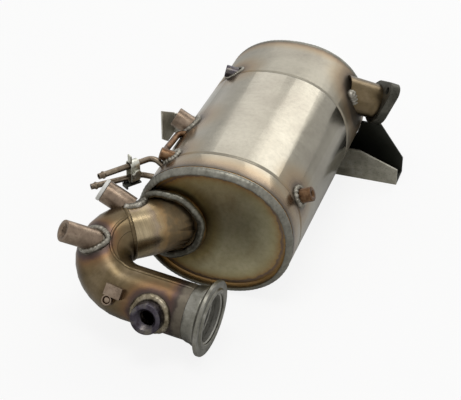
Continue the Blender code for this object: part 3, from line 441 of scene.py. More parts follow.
def tintedSteel(name, look, welds):
    # stainless sheet whose oxide film turns straw, brown, purple and blue towards each weld
    material = bpy.data.materials.new(name)
    tree = emptyTree(material)
    coords = millimetres(tree)
    clouds = addNode(tree, "TexNoise", {"Vector": coords, "Scale": 1.0 / look["cloudMm"],
                                        "Detail": 5.0, "Roughness": 0.6, "Distortion": 0.4})
    colour = addNode(tree, "ValToRGB", (clouds,), look["clouds"])
    grime = addNode(tree, "TexNoise", {"Vector": coords, "Scale": 1.0 / sheetForm["grimeMm"],
                                       "Detail": 6.0, "Roughness": 0.7})
    grime = addNode(tree, "ValToRGB", (grime,), [(0.34, look["grime"]), (0.56, 1.0)])
    colour = addNode(tree, "Mix", (look["grimeShare"], colour, grime),
                     data_type="RGBA", blend_type="MULTIPLY")
    sheen = addNode(tree, "TexNoise", {"Vector": coords, "Scale": 1.0 / sheetForm["sheenMm"],
                                       "Detail": 5.0, "Roughness": 0.65})
    rough = addNode(tree, "Math", (sheen, look["roughSpread"]), operation="MULTIPLY")
    rough = addNode(tree, "Math", (rough, look["rough"]), operation="ADD")
    if "dull" in look:
        # the rear section's sheet is duller than the middle one's
        rear = beyond(tree, coords, look["dull"]["y"])
        rear = addNode(tree, "Math", (rear, look["dull"]["rough"]), operation="MULTIPLY")
        rough = addNode(tree, "Math", (rough, rear), operation="ADD")
    if "drawn" in look:
        colour = addNode(tree, "Mix", (1.0, colour, drawnLines(tree, coords, look)),
                         data_type="RGBA", blend_type="MULTIPLY")

    # the tints by distance from the nearest weld, with a wandering edge
    wander = addNode(tree, "TexNoise", {"Vector": coords, "Scale": 1.0 / sheetForm["wanderMm"],
                                        "Detail": 3.0, "Roughness": 0.6})
    wander = addNode(tree, "Math", (wander, 0.5), operation="SUBTRACT")
    wander = addNode(tree, "Math", (wander, look["wander"]), operation="MULTIPLY")
    far = addNode(tree, "Math", (weldDistance(tree, coords, welds), wander), operation="ADD")
    far = addNode(tree, "Math", (far, look["reach"]), operation="DIVIDE", use_clamp=True)
    tint = addNode(tree, "ValToRGB", (far,), look["tints"])
    share = addNode(tree, "ValToRGB", (far,), look["tintShare"])
    colour = addNode(tree, "Mix", (share, colour, tint), data_type="RGBA")
    near = addNode(tree, "Math", (1.0, far), operation="SUBTRACT")
    near = addNode(tree, "Math", (near, sheetForm["weldFade"]), operation="POWER")
    near = addNode(tree, "Math", (near, sheetForm["weldRough"]), operation="MULTIPLY")
    rough = addNode(tree, "Math", (rough, near), operation="ADD")
    for halo in look.get("halos", ()):
        stray = halo["reach"] * sheetForm["haloWander"]
        stray = addNode(tree, "Math", (clouds, stray), operation="MULTIPLY")
        far = addNode(tree, "Math", (weldDistance(tree, coords, [halo]), stray), operation="ADD")
        far = addNode(tree, "Math", (far, halo["reach"]), operation="DIVIDE", use_clamp=True)
        shade = addNode(tree, "ValToRGB", (far,), halo["stops"])
        colour = addNode(tree, "Mix", (1.0, colour, shade),
                         data_type="RGBA", blend_type="MULTIPLY")

    # rolling lines and shallow dents, drawn coarser than the real ones so that they show
    grain = addNode(tree, "VectorMath", (coords, look["grainStretch"]), operation="MULTIPLY")
    grain = addNode(tree, "TexNoise", {"Vector": grain, "Scale": 1.0 / sheetForm["grainMm"],
                                       "Detail": 3.0, "Roughness": 0.6})
    bump = addNode(tree, "Bump", {"Strength": look["grainBump"], "Height": grain,
                                  "Distance": sheetForm["grainDeep"]})
    dents = addNode(tree, "TexNoise", {"Vector": coords, "Scale": 1.0 / look["dentMm"],
                                       "Detail": 2.0, "Roughness": 0.5})
    bump = addNode(tree, "Bump", {"Strength": look["dentBump"], "Height": dents,
                                  "Distance": sheetForm["dentDeep"], "Normal": bump})
    shader = addNode(tree, "BsdfPrincipled", {"Base Color": colour, "Roughness": rough,
                                              "Metallic": 1.0, "Normal": bump})
    addNode(tree, "OutputMaterial", {"Surface": shader})
    return material


# what the plain finishes share where their own dictionary doesn't say otherwise: the pits' and
# the grain's size in mm, and where the three shades stand in the clouds
plainForm = {"pitMm": 3.0, "grainMm": 0.8, "roughSpread": 0.16, "metallic": 1.0, "middle": 0.52}


def plainFinish(name, ownLook):
    # cloudy colour, pitting and a fine grain, with painted shade on inner faces where asked; a
    # plastic or ceramic has no metallic share
    look = {**plainForm, **ownLook}
    places = (0.30, look["middle"], 0.72)
    material = bpy.data.materials.new(name)
    tree = emptyTree(material)
    coords = millimetres(tree)
    clouds = addNode(tree, "TexNoise", {"Vector": coords, "Scale": 1.0 / look["cloudMm"],
                                        "Detail": 6.0, "Roughness": 0.65, "Distortion": 0.3})
    colour = addNode(tree, "ValToRGB", (clouds,), zip(places, look["shades"]))
    pits = addNode(tree, "TexVoronoi", {"Vector": coords, "Scale": 1.0 / look["pitMm"],
                                        "Randomness": 1.0})
    pits = addNode(tree, "ValToRGB", (pits,), [(0.08, look["pitDark"]), (0.34, 1.0)])
    colour = addNode(tree, "Mix", (1.0, colour, pits), data_type="RGBA", blend_type="MULTIPLY")
    if "paintedInnerShade" in look:
        # painted shade: past a station along the can the colour turns dark, standing in for the
        # shade on the inner faces of the folded sheet
        inner = beyond(tree, coords, look["paintedInnerShade"]["y"])
        colour = addNode(tree, "Mix", (inner, colour, linear(look["paintedInnerShade"]["shade"])),
                         data_type="RGBA")
    rough = addNode(tree, "Math", (clouds, look["roughSpread"]), operation="MULTIPLY")
    rough = addNode(tree, "Math", (rough, look["rough"]), operation="ADD")
    grain = addNode(tree, "TexNoise", {"Vector": coords, "Scale": 1.0 / look["grainMm"],
                                       "Detail": 4.0, "Roughness": 0.6})
    height = addNode(tree, "Math", (grain, pits), operation="MULTIPLY")
    # grain and pits are drawn coarser than the real ones so that they show
    grainDeep = look["grainMm"] / 2500  # metres: 0.4 of its width
    bump = addNode(tree, "Bump", {"Strength": look["bump"], "Height": height,
                                  "Distance": grainDeep})
    shader = addNode(tree, "BsdfPrincipled", {"Base Color": colour, "Roughness": rough,
                                              "Metallic": look["metallic"], "Normal": bump})
    addNode(tree, "OutputMaterial", {"Surface": shader})
    return material


# rolled stainless, tinted by the heat of its welds: long soft highlights that turn straw
# and brown near a weld, and a duller rear section
canSteel = tintedSteel("rolled_stainless_sheet", {
    "cloudMm": 60.0, "clouds": [(0.30, "#827c70"), (0.52, "#8e897c"), (0.72, "#979285")],
    "grime": 0.78, "grimeShare": 0.45, "rough": 0.17, "roughSpread": 0.07,
    "wander": 5.0, "reach": 34.0,
    "tints": [(0.0, "#463e34"), (0.07, "#56493d"), (0.16, "#6f5c48"), (0.36, "#8a7457"),
              (0.62, "#908066"), (1.0, "#918a7b")],
    "tintShare": [(0.0, 0.9), (0.14, 0.75), (0.5, 0.55), (1.0, 0.0)],
    "grainStretch": (1.0, 0.25, 1.0), "grainBump": 0.03, "dentBump": 0.02, "dentMm": 45.0,
    "dull": {"y": 205.0, "rough": 0.20},
}, [
    {"kind": "station", "y": 4.0, "stretch": 1.1},
    {"kind": "station", "y": 278.0, "stretch": 1.6},
    {"kind": "ball", "middle": (-62.0, 106.0, 47.0), "radius": 14.0},
    {"kind": "ball", "middle": (-56.0, 34.0, 53.5), "radius": 10.0},
    {"kind": "ball", "middle": (-51.0, 212.0, 57.0), "radius": 9.0},
    {"kind": "ball", "middle": (75.0, 41.0, 30.0), "radius": 11.0},
    {"kind": "ball", "middle": (79.0, 258.0, 22.0), "radius": 28.0},
])

# pressed stainless plate: a pale straw sheen, a brown and purple band inside the rim and
# a dark halo round the stub
plateSteel = tintedSteel("pressed_stainless_plate", {
    "cloudMm": 40.0, "clouds": [(0.30, "#a2987a"), (0.52, "#b4ac8d"), (0.72, "#c1ba9a")],
    "grime": 0.72, "grimeShare": 0.55, "rough": 0.27, "roughSpread": 0.12,
    "wander": 6.0, "reach": 24.0,
    "tints": [(0.0, "#6b5a40"), (0.12, "#94713f"), (0.22, "#7b5f45"), (0.28, "#5f4d4c"),
              (0.36, "#946f3e"), (0.60, "#998a5c"), (1.0, "#a69e80")],
    "tintShare": [(0.0, 0.95), (0.3, 0.85), (0.55, 0.45), (1.0, 0.0)],
    "grainStretch": (1.0, 0.25, 1.0), "grainBump": 0.05, "dentBump": 0.05, "dentMm": 34.0,
    "halos": [{"kind": "ball", "middle": (-44.5, 0.0, -1.0), "radius": 34.0, "reach": 26.0,
               "stops": [(0.0, "#6f6256"), (0.22, "#8c7c68"), (0.55, "#cfc4a8"),
                         (1.0, "#ffffff")]}],
}, [
    {"kind": "oval", "inset": 4.0},
])

# stainless polished with a belt: a warm bright sheen with fine lines round the stub
stubSteel = tintedSteel("polished_stub_steel", {
    "cloudMm": 30.0, "clouds": [(0.30, "#85765b"), (0.50, "#9e8e71"), (0.72, "#b3a486")],
    "grime": 0.76, "grimeShare": 0.4, "rough": 0.19, "roughSpread": 0.10,
    "wander": 6.0, "reach": 18.0, "drawn": (-0.62, -0.78, 0.03), "drawnMm": 1.0,
    "drawnDark": 0.74,
    "tints": [(0.0, "#63543f"), (0.12, "#8a6c46"), (0.30, "#937b58"), (0.46, "#7e6e66"),
              (0.70, "#978568"), (1.0, "#9e8e71")],
    "tintShare": [(0.0, 0.8), (0.3, 0.6), (0.65, 0.35), (1.0, 0.0)],
    "grainStretch": (1.0, 1.0, 1.0), "grainBump": 0.03, "dentBump": 0.03, "dentMm": 28.0,
}, [
    {"kind": "ball", "middle": (-44.5, 0.0, -1.0), "radius": 33.0},
    {"kind": "ball", "middle": (-84.2, -18.7, 24.0), "radius": 13.0},
])

# stainless pipe bronzed by exhaust heat: brown and glossy, greyer and purple by its welds
pipeSteel = tintedSteel("bronzed_stainless_pipe", {
    "cloudMm": 38.0, "clouds": [(0.30, "#4a3e30"), (0.50, "#62553f"), (0.72, "#796b56")],
    "grime": 0.66, "grimeShare": 0.55, "rough": 0.26, "roughSpread": 0.12,
    "wander": 6.0, "reach": 24.0,
    "tints": [(0.0, "#625b50"), (0.10, "#3f3835"), (0.24, "#4c3b38"), (0.42, "#70533a"),
              (0.68, "#6a563c"), (1.0, "#5a4b37")],
    "tintShare": [(0.0, 1.0), (0.3, 0.8), (0.65, 0.4), (1.0, 0.0)],
    "grainStretch": (1.0, 1.0, 1.0), "grainBump": 0.03, "dentBump": 0.05, "dentMm": 28.0,
}, [
    {"kind": "ball", "middle": (-22.6, -116.0, -24.4), "radius": 18.0},
    {"kind": "ball", "middle": (-97.9, -74.7, 17.5), "radius": 14.0},
    {"kind": "ball", "middle": (30.0, -93.0, -32.5), "radius": 38.0},
])

# turned steel warmed by welding: a brown-grey satin
bossSteel = plainFinish("turned_steel_heat_tinted", {
    "cloudMm": 12.0, "shades": ["#64574a", "#7f6f60", "#978877"], "pitDark": 0.76,
    "rough": 0.28, "bump": 0.08,
})

# the same steel heated further: copper brown with small dark patches
copperBoss = plainFinish("turned_steel_copper_tint", {
    "cloudMm": 7.0, "shades": ["#453324", "#634a35", "#836a52"], "pitDark": 0.70, "rough": 0.28,
    "bump": 0.10,
})

# steel heated until blue, for the lambda boss and the rear bung: dark blue-grey and brown
blueBoss = plainFinish("turned_steel_blue_tint", {
    "cloudMm": 9.0, "shades": ["#2e272c", "#47434a", "#6f6a60"], "middle": 0.50,
    "pitDark": 0.74, "rough": 0.24, "bump": 0.08,
})

# drawn steel tube, brown-grey from heat: thin highlights along each run
tubeSteel = plainFinish("drawn_tube_steel", {
    "cloudMm": 10.0, "shades": ["#5a4e41", "#736759", "#8d8170"], "pitDark": 0.80,
    "rough": 0.26, "roughSpread": 0.12, "grainMm": 0.8, "bump": 0.06,
})

# thick weld round the stub: grey lumps with blurred glints
rootWeldSteel = plainFinish("thick_root_weld", {
    "cloudMm": 8.0, "shades": ["#4c4a42", "#66645b", "#858379"], "pitMm": 2.4, "pitDark": 0.66,
    "rough": 0.30, "grainMm": 0.9, "bump": 0.20,
})

# machined bore under a grey film: pale and soft, so metallic is below 1
boreSteel = plainFinish("machined_bore_steel", {
    "cloudMm": 16.0, "shades": ["#8a8880", "#a3a199", "#b8b6ae"], "pitMm": 5.0, "pitDark": 0.86,
    "rough": 0.40, "roughSpread": 0.10, "grainMm": 0.7, "bump": 0.02, "metallic": 0.55,
})

# cut sheet under a grey film: pale and nearly matt, so metallic is below 1
tabSteel = plainFinish("grey_cut_sheet", {
    "cloudMm": 12.0, "shades": ["#a09d92", "#b4b1a5", "#c6c3b7"], "pitDark": 0.74,
    "rough": 0.36, "bump": 0.10, "metallic": 0.7,
})

# bracket sheet left matt by pickling: even grey, with painted shade on its inner faces, where a
# dark colour stands in for the shade inside the fold
bracketSteel = plainFinish("pickled_bracket_sheet", {
    "cloudMm": 14.0, "shades": ["#7b786c", "#939084", "#a6a398"], "pitMm": 2.8, "pitDark": 0.72,
    "rough": 0.38, "grainMm": 0.9, "bump": 0.12, "paintedInnerShade": {"y": 247.6, "shade": "#2c2d28"},
})

# seam weld pressed nearly flat: dull grey ripples round each end
rimWeldSteel = plainFinish("flattened_rim_weld", {
    "cloudMm": 9.0, "shades": ["#64625a", "#76746b", "#88867d"], "pitDark": 0.78, "rough": 0.32,
    "roughSpread": 0.14, "grainMm": 0.9, "bump": 0.12,
})

# weld bead: mottled grey and pitted, with a glint on each scale
weldMetal = plainFinish("weld_bead_steel", {
    "cloudMm": 5.0, "shades": ["#5e5a51", "#7e7a70", "#a5a198"], "pitMm": 1.8, "pitDark": 0.55,
    "rough": 0.34, "roughSpread": 0.18, "grainMm": 0.9, "bump": 0.22,
})

# weld with a straw tint, for the lambda boss's collar: warm grey-gold with soft glints
goldWeld = plainFinish("straw_tinted_weld", {
    "cloudMm": 7.0, "shades": ["#5a5242", "#7c7361", "#a09888"], "pitMm": 2.6, "pitDark": 0.70,
    "rough": 0.28, "grainMm": 0.9, "bump": 0.16,
})

# machined flange: smooth mid grey with clear rings of light
flangeSteel = plainFinish("machined_flange_steel", {
    "cloudMm": 14.0, "shades": ["#5f5d55", "#79776e", "#93918a"], "pitMm": 4.0, "pitDark": 0.80,
    "rough": 0.26, "roughSpread": 0.14, "grainMm": 0.7, "bump": 0.07,
})

# raw steel with its mill scale: nearly black and dull
rawSteel = plainFinish("dark_raw_steel", {
    "cloudMm": 16.0, "shades": ["#35352f", "#4b4a43", "#64625a"], "pitMm": 2.6, "pitDark": 0.60,
    "rough": 0.42, "roughSpread": 0.20, "grainMm": 0.9, "bump": 0.16,
})

# zinc-plated sheet: pale grey, bright and a little mottled
zincSheet = plainFinish("zinc_plated_sheet", {
    "cloudMm": 6.0, "shades": ["#9d9c91", "#b7b6aa", "#cfcec4"], "pitMm": 2.0, "pitDark": 0.80,
    "rough": 0.28, "roughSpread": 0.14, "grainMm": 0.6, "bump": 0.08,
})

# moulded plastic cap: matt white with soft shading
plugPlastic = plainFinish("matt_white_plastic", {
    "cloudMm": 9.0, "shades": ["#dcdcd4", "#e8e8e2", "#f0f0ec"], "pitDark": 0.92, "rough": 0.42,
    "roughSpread": 0.12, "grainMm": 0.5, "bump": 0.05, "metallic": 0.0,
})

# extruded and fired silicon carbide: dark grey, dry and rough
carbideBlock = plainFinish("silicon_carbide", {
    "cloudMm": 20.0, "shades": ["#3c3c40", "#48484c", "#545458"], "pitMm": 1.6, "pitDark": 0.45,
    "rough": 0.75, "roughSpread": 0.12, "grainMm": 0.6, "bump": 0.25, "metallic": 0.0,
})

# ceramic fibre mat: cream and fuzzy, with no shine
fibreMat = plainFinish("ceramic_fibre_mat", {
    "cloudMm": 8.0, "shades": ["#b9ad90", "#cbc0a4", "#d8cfb8"], "pitMm": 1.2, "pitDark": 0.80,
    "rough": 0.85, "roughSpread": 0.10, "grainMm": 0.7, "bump": 0.30, "metallic": 0.0,
})
print("materials made")

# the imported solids, smoothed: node, finish, the angle up to which it is smooth, and its bevel
skins = [
    ("can_shell", canSteel, 30, 0.0),
    ("inlet_end_plate", plateSteel, 40, 0.0),
    ("outlet_end_plate", plateSteel, 40, 0.0),
    ("inlet_stub_pipe", stubSteel, 45, 0.0),
    ("elbow_front_half", pipeSteel, 45, 0.0),
    ("elbow_back_half", pipeSteel, 45, 0.0),
    ("vband_flange", flangeSteel, 32, 0.0),
    ("tube_clamp", zincSheet, 35, 0.0002),
    ("clamp_bolt", zincSheet, 30, 0.0002),
    ("clamp_backing_plate", rawSteel, 30, 0.0002),
    ("outlet_pipe", pipeSteel, 40, 0.0),
    ("outlet_flange", rawSteel, 35, 0.0),
    ("side_bracket", bracketSteel, 30, 0.0004),
    ("left_tab_bracket", tabSteel, 30, 0.0003),
]
# extra rings along the can, in millimetres from its inlet end
canLoops = (6.0, 8.0, 25.4, 26.2, 27.6, 30.4, 31.8, 32.6, 60.0, 120.0, 180.0,
            201.4, 202.2, 203.6, 206.4, 207.8, 208.6, 230.0, 272.0, 274.0)
for nodeName, finish, smooth, bevel in skins:
    smoothCopy(nodeName, finish, smooth, bevel, canLoops if nodeName == "can_shell" else ())
print("skins made")

# sealed inside: the block, its mat and its end rings keep their solids
for nodeName, finish in (("filter_block", carbideBlock), ("support_mat", fibreMat),
                         ("front_seal_ring", weldMetal), ("rear_seal_ring", weldMetal)):
    nodes[nodeName].data.materials.clear()
    nodes[nodeName].data.materials.append(finish)

# the bosses, each a turned piece with a cut thread, and the welds round their feet, which lie
# on the sheets named: lengths in metres
bosses = {
    "lambda_boss": {"foot": at(-22.6, -116.0, -24.4), "axis": Vector((0.020, -0.943, 0.331)),
                    "radius": 0.0150, "bore": 0.0090, "height": 0.0145, "sunk": 0.0040,
                    "depth": 0.0110, "pitch": 0.0015, "edge": 0.0012, "finish": blueBoss,
                    "sheets": ["elbow_front_half", "elbow_back_half"],
                    "collar": goldWeld,
                    "bead": {"width": 0.0084, "height": 0.0042, "pitch": 0.0066, "depth": 0.12}},
    "elbow_sensor_boss": {"foot": at(-97.9, -74.7, 17.5), "axis": Vector((-0.657, -0.538, 0.528)),
                          "radius": 0.0108, "bore": 0.0062, "height": 0.0305, "sunk": 0.0070,
                          "depth": 0.0200, "pitch": 0.0013, "finish": bossSteel,
                          "sheets": ["elbow_front_half", "elbow_back_half", "inlet_stub_pipe"],
                          "bead": {"width": 0.0062, "height": 0.0034, "pitch": 0.0042,
                                   "depth": 0.18}},
    "stub_sensor_boss": {"foot": at(-84.2, -18.7, 24.0), "axis": Vector((-0.873, -0.021, 0.487)),
                         "radius": 0.0116, "bore": 0.0062, "height": 0.0245, "sunk": 0.0060,
                         "depth": 0.0120, "pitch": 0.0013, "finish": bossSteel,
                         "sheets": ["inlet_stub_pipe"],
                         "bead": {"width": 0.0082, "height": 0.0034, "pitch": 0.0044,
                                  "depth": 0.18}},
    "can_sensor_boss": {"foot": at(-63.8, 107.0, 47.0), "axis": Vector((-0.863, -0.040, 0.503)),
                        "radius": 0.0102, "bore": 0.0056, "height": 0.0175, "sunk": 0.0060,
                        "depth": 0.0110, "pitch": 0.0012, "finish": bossSteel,
                        "sheets": ["can_shell"],
                        "bead": {"width": 0.0062, "height": 0.0032, "pitch": 0.0040,
                                 "depth": 0.20}},
    "pressure_boss": {"foot": at(-56.2, 34.0, 53.5), "axis": Vector((-0.902, -0.251, 0.351)),
                      "radius": 0.0062, "bore": 0.0031, "height": 0.0118, "sunk": 0.0040,
                      "depth": 0.0080, "pitch": 0.0010, "finish": copperBoss,
                      "sheets": ["can_shell"],
                      "bead": {"width": 0.0062, "height": 0.0028, "pitch": 0.0030,
                               "depth": 0.36}},
    "rear_left_bung": {"foot": at(-51.0, 212.0, 57.2), "axis": Vector((-0.958, -0.182, 0.222)),
                       "radius": 0.0066, "bore": 0.0036, "height": 0.0094, "sunk": 0.0040,
                       "depth": 0.0070, "pitch": 0.0010, "finish": blueBoss,
                       "sheets": ["can_shell"],
                       "bead": {"width": 0.0034, "height": 0.0020, "pitch": 0.0020,
                                "depth": 0.26}},
    "right_pressure_boss": {"foot": at(74.4, 41.0, 30.0), "axis": Vector((0.915, 0.030, 0.402)),
                            "radius": 0.0074, "bore": 0.0031, "height": 0.0140, "sunk": 0.0040,
                            "depth": 0.0080, "pitch": 0.0010, "finish": copperBoss,
                            "sheets": ["can_shell"],
                            "bead": {"width": 0.0060, "height": 0.0034, "pitch": 0.0042,
                                     "depth": 0.40}},
}
beadInset = 0.18  # how much of a bead's width its middle lies outside the boss
for bossName, boss in bosses.items():
    threadedBoss(bossName + "_skin", boss, boss["finish"], (bossName,))
    weldRing(bossName + "_weld", boss["foot"], boss["axis"],
             boss["radius"] + boss["bead"]["width"] * beadInset, boss["sheets"], boss["bead"],
             boss.get("collar", weldMetal), boss["sheets"][0])

# the plug in the stub's boss: (radius, height from the boss's mouth)
plug = {"boss": bosses["stub_sensor_boss"],
        "profile": [(0.0048, -0.0100), (0.0048, 0.0003), (0.0113, 0.0003),
                    (0.0118, 0.0009), (0.0118, 0.0035), (0.0112, 0.0041)]}
turnedPiece("stub_boss_plug_skin", plug["boss"]["foot"], plug["boss"]["axis"],
            [(radius, plug["boss"]["height"] + height) for radius, height in plug["profile"]],
            plugPlastic, ("stub_boss_plug",))
print("bosses made")


def ovalPath(y, inset):
    # points and outward directions round the can's oval, millimetres from the inlet end
    steps = 420
    power = canSize["squareness"]
    width = canSize["halfWidth"] - inset
    height = canSize["halfHeight"] - inset
    path = []
    outward = []
    for i in range(steps):
        turn = 2 * math.pi * i / steps
        c, s = math.cos(turn), math.sin(turn)
        x = width * math.copysign(abs(c) ** (2 / power), c)
        z = height * math.copysign(abs(s) ** (2 / power), s)
        path.append(at(x, y, z))
        slopeX = math.copysign(abs(x / width) ** (power - 1), x) / width
        slopeZ = math.copysign(abs(z / height) ** (power - 1), z) / height
        outward.append(Vector((slopeX, 0.0, slopeZ)).normalized())
    return path, outward


# the seam welds that close the can's ends: broad low bands, the front one leaning forward
rimSeams = {
    "front_rim_weld": {"y": -1.5, "inset": 2.9, "lean": 0.9, "slot": "inlet_end_plate",
                       "bead": {"width": 0.0086, "height": 0.0017, "pitch": 0.0046,
                                "depth": 0.14, "sway": 0.00018}},
    "rear_rim_weld": {"y": 279.4, "inset": 1.2, "lean": 0.0, "slot": "outlet_end_plate",
                      "bead": {"width": 0.0052, "height": 0.0014, "pitch": 0.0042,
                               "depth": 0.16, "sway": 0.00015}},
}
for seamName, seam in rimSeams.items():
    path, outward = ovalPath(seam["y"], seam["inset"])
    outward = [up - Vector((0.0, seam["lean"], 0.0)) for up in outward]
    beadAlong(seamName, path, outward, seam["bead"], rimWeldSteel, seam["slot"])

# the thick weld where the stub leaves the end plate, an uneven ring: each wave of it is
# (how many round the ring, height in mm, start)
rootWeld = {"middle": (-46.0, -4.6, 0.5), "reach": 33.4, "tall": 1.05, "steps": 220,
            "waves": [(3, 0.8, 0.6), (7, 0.4, 0.0)], "lean": (0.7, -0.8),
            "bead": {"width": 0.0082, "height": 0.0038, "pitch": 0.0085, "depth": 0.10,
                     "sway": 0.0004}}
rootX, rootY, rootZ = rootWeld["middle"]
rootPath = []
rootOutward = []
for i in range(rootWeld["steps"]):
    turn = 2 * math.pi * i / rootWeld["steps"]
    reach = rootWeld["reach"]
    for rounds, rise, start in rootWeld["waves"]:
        reach += rise * math.sin(rounds * turn + start)
    rootPath.append(at(rootX + reach * math.cos(turn), rootY,
                       rootZ + rootWeld["tall"] * reach * math.sin(turn)))
    out, forward = rootWeld["lean"]
    rootOutward.append(Vector((math.cos(turn) * out, forward, math.sin(turn) * out)))
beadAlong("stub_root_weld", rootPath, rootOutward, rootWeld["bead"], rootWeldSteel,
          "inlet_stub_pipe")

# the elbow's two seams, pressed up where the half shells meet: they turn round the pipe
# by so many degrees over the first points of its route
pipeRadius = 0.0268
seams = {"corners": [at(-79.5, -36.9, 3.0), at(-107.0, -60.0, 3.0), at(-70.0, -86.0, -25.0),
                     at(9.9, -91.6, -31.0)],
         "bends": [0.030, 0.043], "spacing": 0.0015, "startTurn": -12, "addTurn": -33,
         "turnPoints": 48,
         "bead": {"width": 0.0034, "height": 0.0012, "pitch": 0.0060, "depth": 0.10}}
elbowRoute = denser(roundedRoute(seams["corners"], seams["bends"]), seams["spacing"])
seamUp = Vector((0.0, 0.0, 1.0))
frontSeam = ([], [])
rearSeam = ([], [])
for i, point in enumerate(elbowRoute):
    before = elbowRoute[max(i - 1, 0)]
    after = elbowRoute[min(i + 1, len(elbowRoute) - 1)]
    ahead = (after - before).normalized()
    seamUp = (seamUp - ahead * seamUp.dot(ahead)).normalized()
    side = ahead.cross(seamUp)
    share = min(1.0, i / seams["turnPoints"])
    turn = math.radians(seams["startTurn"] + seams["addTurn"] * share)
    arm = side * math.sin(turn) + seamUp * math.cos(turn)
    for (line, up), sign in ((frontSeam, 1), (rearSeam, -1)):
        line.append(point + arm * sign * pipeRadius)
        up.append(arm * sign)
beadAlong("elbow_front_seam", *frontSeam, seams["bead"], pipeSteel, "elbow_front_half", False)
beadAlong("elbow_rear_seam", *rearSeam, seams["bead"], pipeSteel, "elbow_back_half", False)

# the ring where the stub meets the elbow
joint = {"middle": at(-77.2, -34.9, 3.0), "axis": Vector((-0.766, -0.643, 0.0)), "steps": 180,
         "bead": {"width": 0.0042, "height": 0.0012, "pitch": 0.0030, "depth": 0.26}}
jointOver = Vector((0.0, 0.0, 1.0))
jointSide = joint["axis"].cross(jointOver)
jointPath = []
jointOutward = []
for i in range(joint["steps"]):
    turn = 2 * math.pi * i / joint["steps"]
    arm = jointSide * math.cos(turn) + jointOver * math.sin(turn)
    jointPath.append(joint["middle"] + arm * pipeRadius)
    jointOutward.append(arm)
beadAlong("stub_joint_weld", jointPath, jointOutward, joint["bead"], pipeSteel,
          "elbow_front_half")

# machined steps inside the V-band flange: radius and depth from its face
vband = {"face": at(30.0, -93.0, -32.5), "axis": Vector((0.995, -0.070, -0.075)).normalized(),
         "profile": [(0.0253, -0.0004), (0.0247, -0.0004), (0.0236, -0.0014),
                     (0.0236, -0.0060), (0.0243, -0.0066), (0.0243, -0.0100),
                     (0.0233, -0.0108), (0.0233, -0.0185), (0.0253, -0.0190)]}
turnedPiece("vband_bore_steps", vband["face"], vband["axis"], vband["profile"], boreSteel,
            facets=96, closed=True)

# the clip on the elbow: a folded cap with a cheek and an eye, and a domed pin in the eye.
# plates are (middle, size) in mm along the clip, up and out; the eye and pin are profiles
clipForm = {
    "middle": at(-58.3, -86.6, -25.6), "along": Vector((0.982, -0.128, -0.138)),
    "out": Vector((-0.10, -0.80, 0.55)), "edge": 0.0005, "eyeBack": 0.0035, "eyeDown": 0.0098,
    "plates": [((0.0, 0.0, 34.2), (17.0, 11.0, 1.7)), ((0.0, 4.7, 29.0), (17.0, 1.7, 12.0)),
               ((7.7, 0.0, 28.6), (1.7, 10.2, 11.6))],
    "eye": [(0.0053, 0.0215), (0.0053, 0.0330), (0.0049, 0.0336), (0.0040, 0.0336),
            (0.0036, 0.0330), (0.0036, 0.0215)],
    "pin": [(0.0032, 0.0240), (0.0032, 0.0322), (0.0026, 0.0330), (0.0014, 0.0334),
            (0.0004, 0.0335)]}
clipAlong = clipForm["along"].normalized()
clipOut = clipForm["out"]
clipOut = (clipOut - clipAlong * clipOut.dot(clipAlong)).normalized()
clipUp = clipOut.cross(clipAlong).normalized()
clipTurn = Matrix((clipAlong, clipUp, clipOut)).transposed()
clipParts = []
for middle, size in clipForm["plates"]:
    deselectAll()
    bpy.ops.mesh.primitive_cube_add(size=1.0)
    plate = bpy.context.object
    plate.scale = Vector(size) / 1000
    settle(plate)
    plate.data.transform(Matrix.Translation(Vector(middle) / 1000))
    plate.data.transform(Matrix.Translation(clipForm["middle"]) @ clipTurn.to_4x4())
    clipParts.append(plate)
eyeMiddle = clipForm["middle"] - clipAlong * clipForm["eyeBack"] - clipUp * clipForm["eyeDown"]
clipParts.append(turnedPiece("clip_eye", eyeMiddle, clipOut, clipForm["eye"], bossSteel,
                             closed=True))
clip = clipParts[0]
for other in clipParts[1:]:
    joining = clip.modifiers.new("join", "BOOLEAN")
    joining.operation = "UNION"
    joining.object = other
    applyAll(clip)
    bpy.data.objects.remove(other, do_unlink=True)
rounding = clip.modifiers.new("edge", "BEVEL")
rounding.width = clipForm["edge"]
rounding.segments = 2
rounding.angle_limit = bevelAngle
applyAll(clip)
finishPiece(clip, "elbow_clip_skin", bossSteel, 40, ("elbow_clip",))
turnedPiece("elbow_clip_pin_skin", eyeMiddle, clipOut, clipForm["pin"], bossSteel,
            ("elbow_clip_pin",))

# the weld nugget on the can beside the outlet
nugget = {"points": [(71.0, 240.0, 41.0), (73.4, 242.0, 36.5), (75.4, 244.0, 30.5),
                     (76.6, 246.0, 24.0)], "spacing": 0.0009, "outward": (0.85, -0.1, 0.5),
          "bead": {"width": 0.0120, "height": 0.0052, "pitch": 0.0034, "depth": 0.34}}
spots = denser([at(*spot) for spot in nugget["points"]], nugget["spacing"])
beadAlong("outlet_nugget", spots, [Vector(nugget["outward"])] * len(spots), nugget["bead"],
          weldMetal, "can_shell", False)
print("welds made")

# the pressure tubes: each runs from its open end to its boss, with one bend
tubeForm = {"bends": [0.009], "radius": 0.0030, "wall": 0.0009, "spacing": 0.0007,
            "flare": {"from": 0.0050, "width": 0.0016, "height": 0.0010}}
tubes = {
    "upper_pressure_tube": [(-112.8, -16.1, 49.2), (-75.3, 33.9, 49.2), (-58.0, 26.2, 43.5)],
    "lower_pressure_tube": [(-123.3, -12.8, 33.1), (-84.9, 24.0, 33.0), (-65.0, 25.5, 32.0)],
}
for nodeName, corners in tubes.items():
    bentTube(nodeName + "_skin", [at(*corner) for corner in corners], tubeForm, tubeSteel,
             (nodeName,))
smoothCopy("link_tube", copperBoss, 50)
print("tubes made")


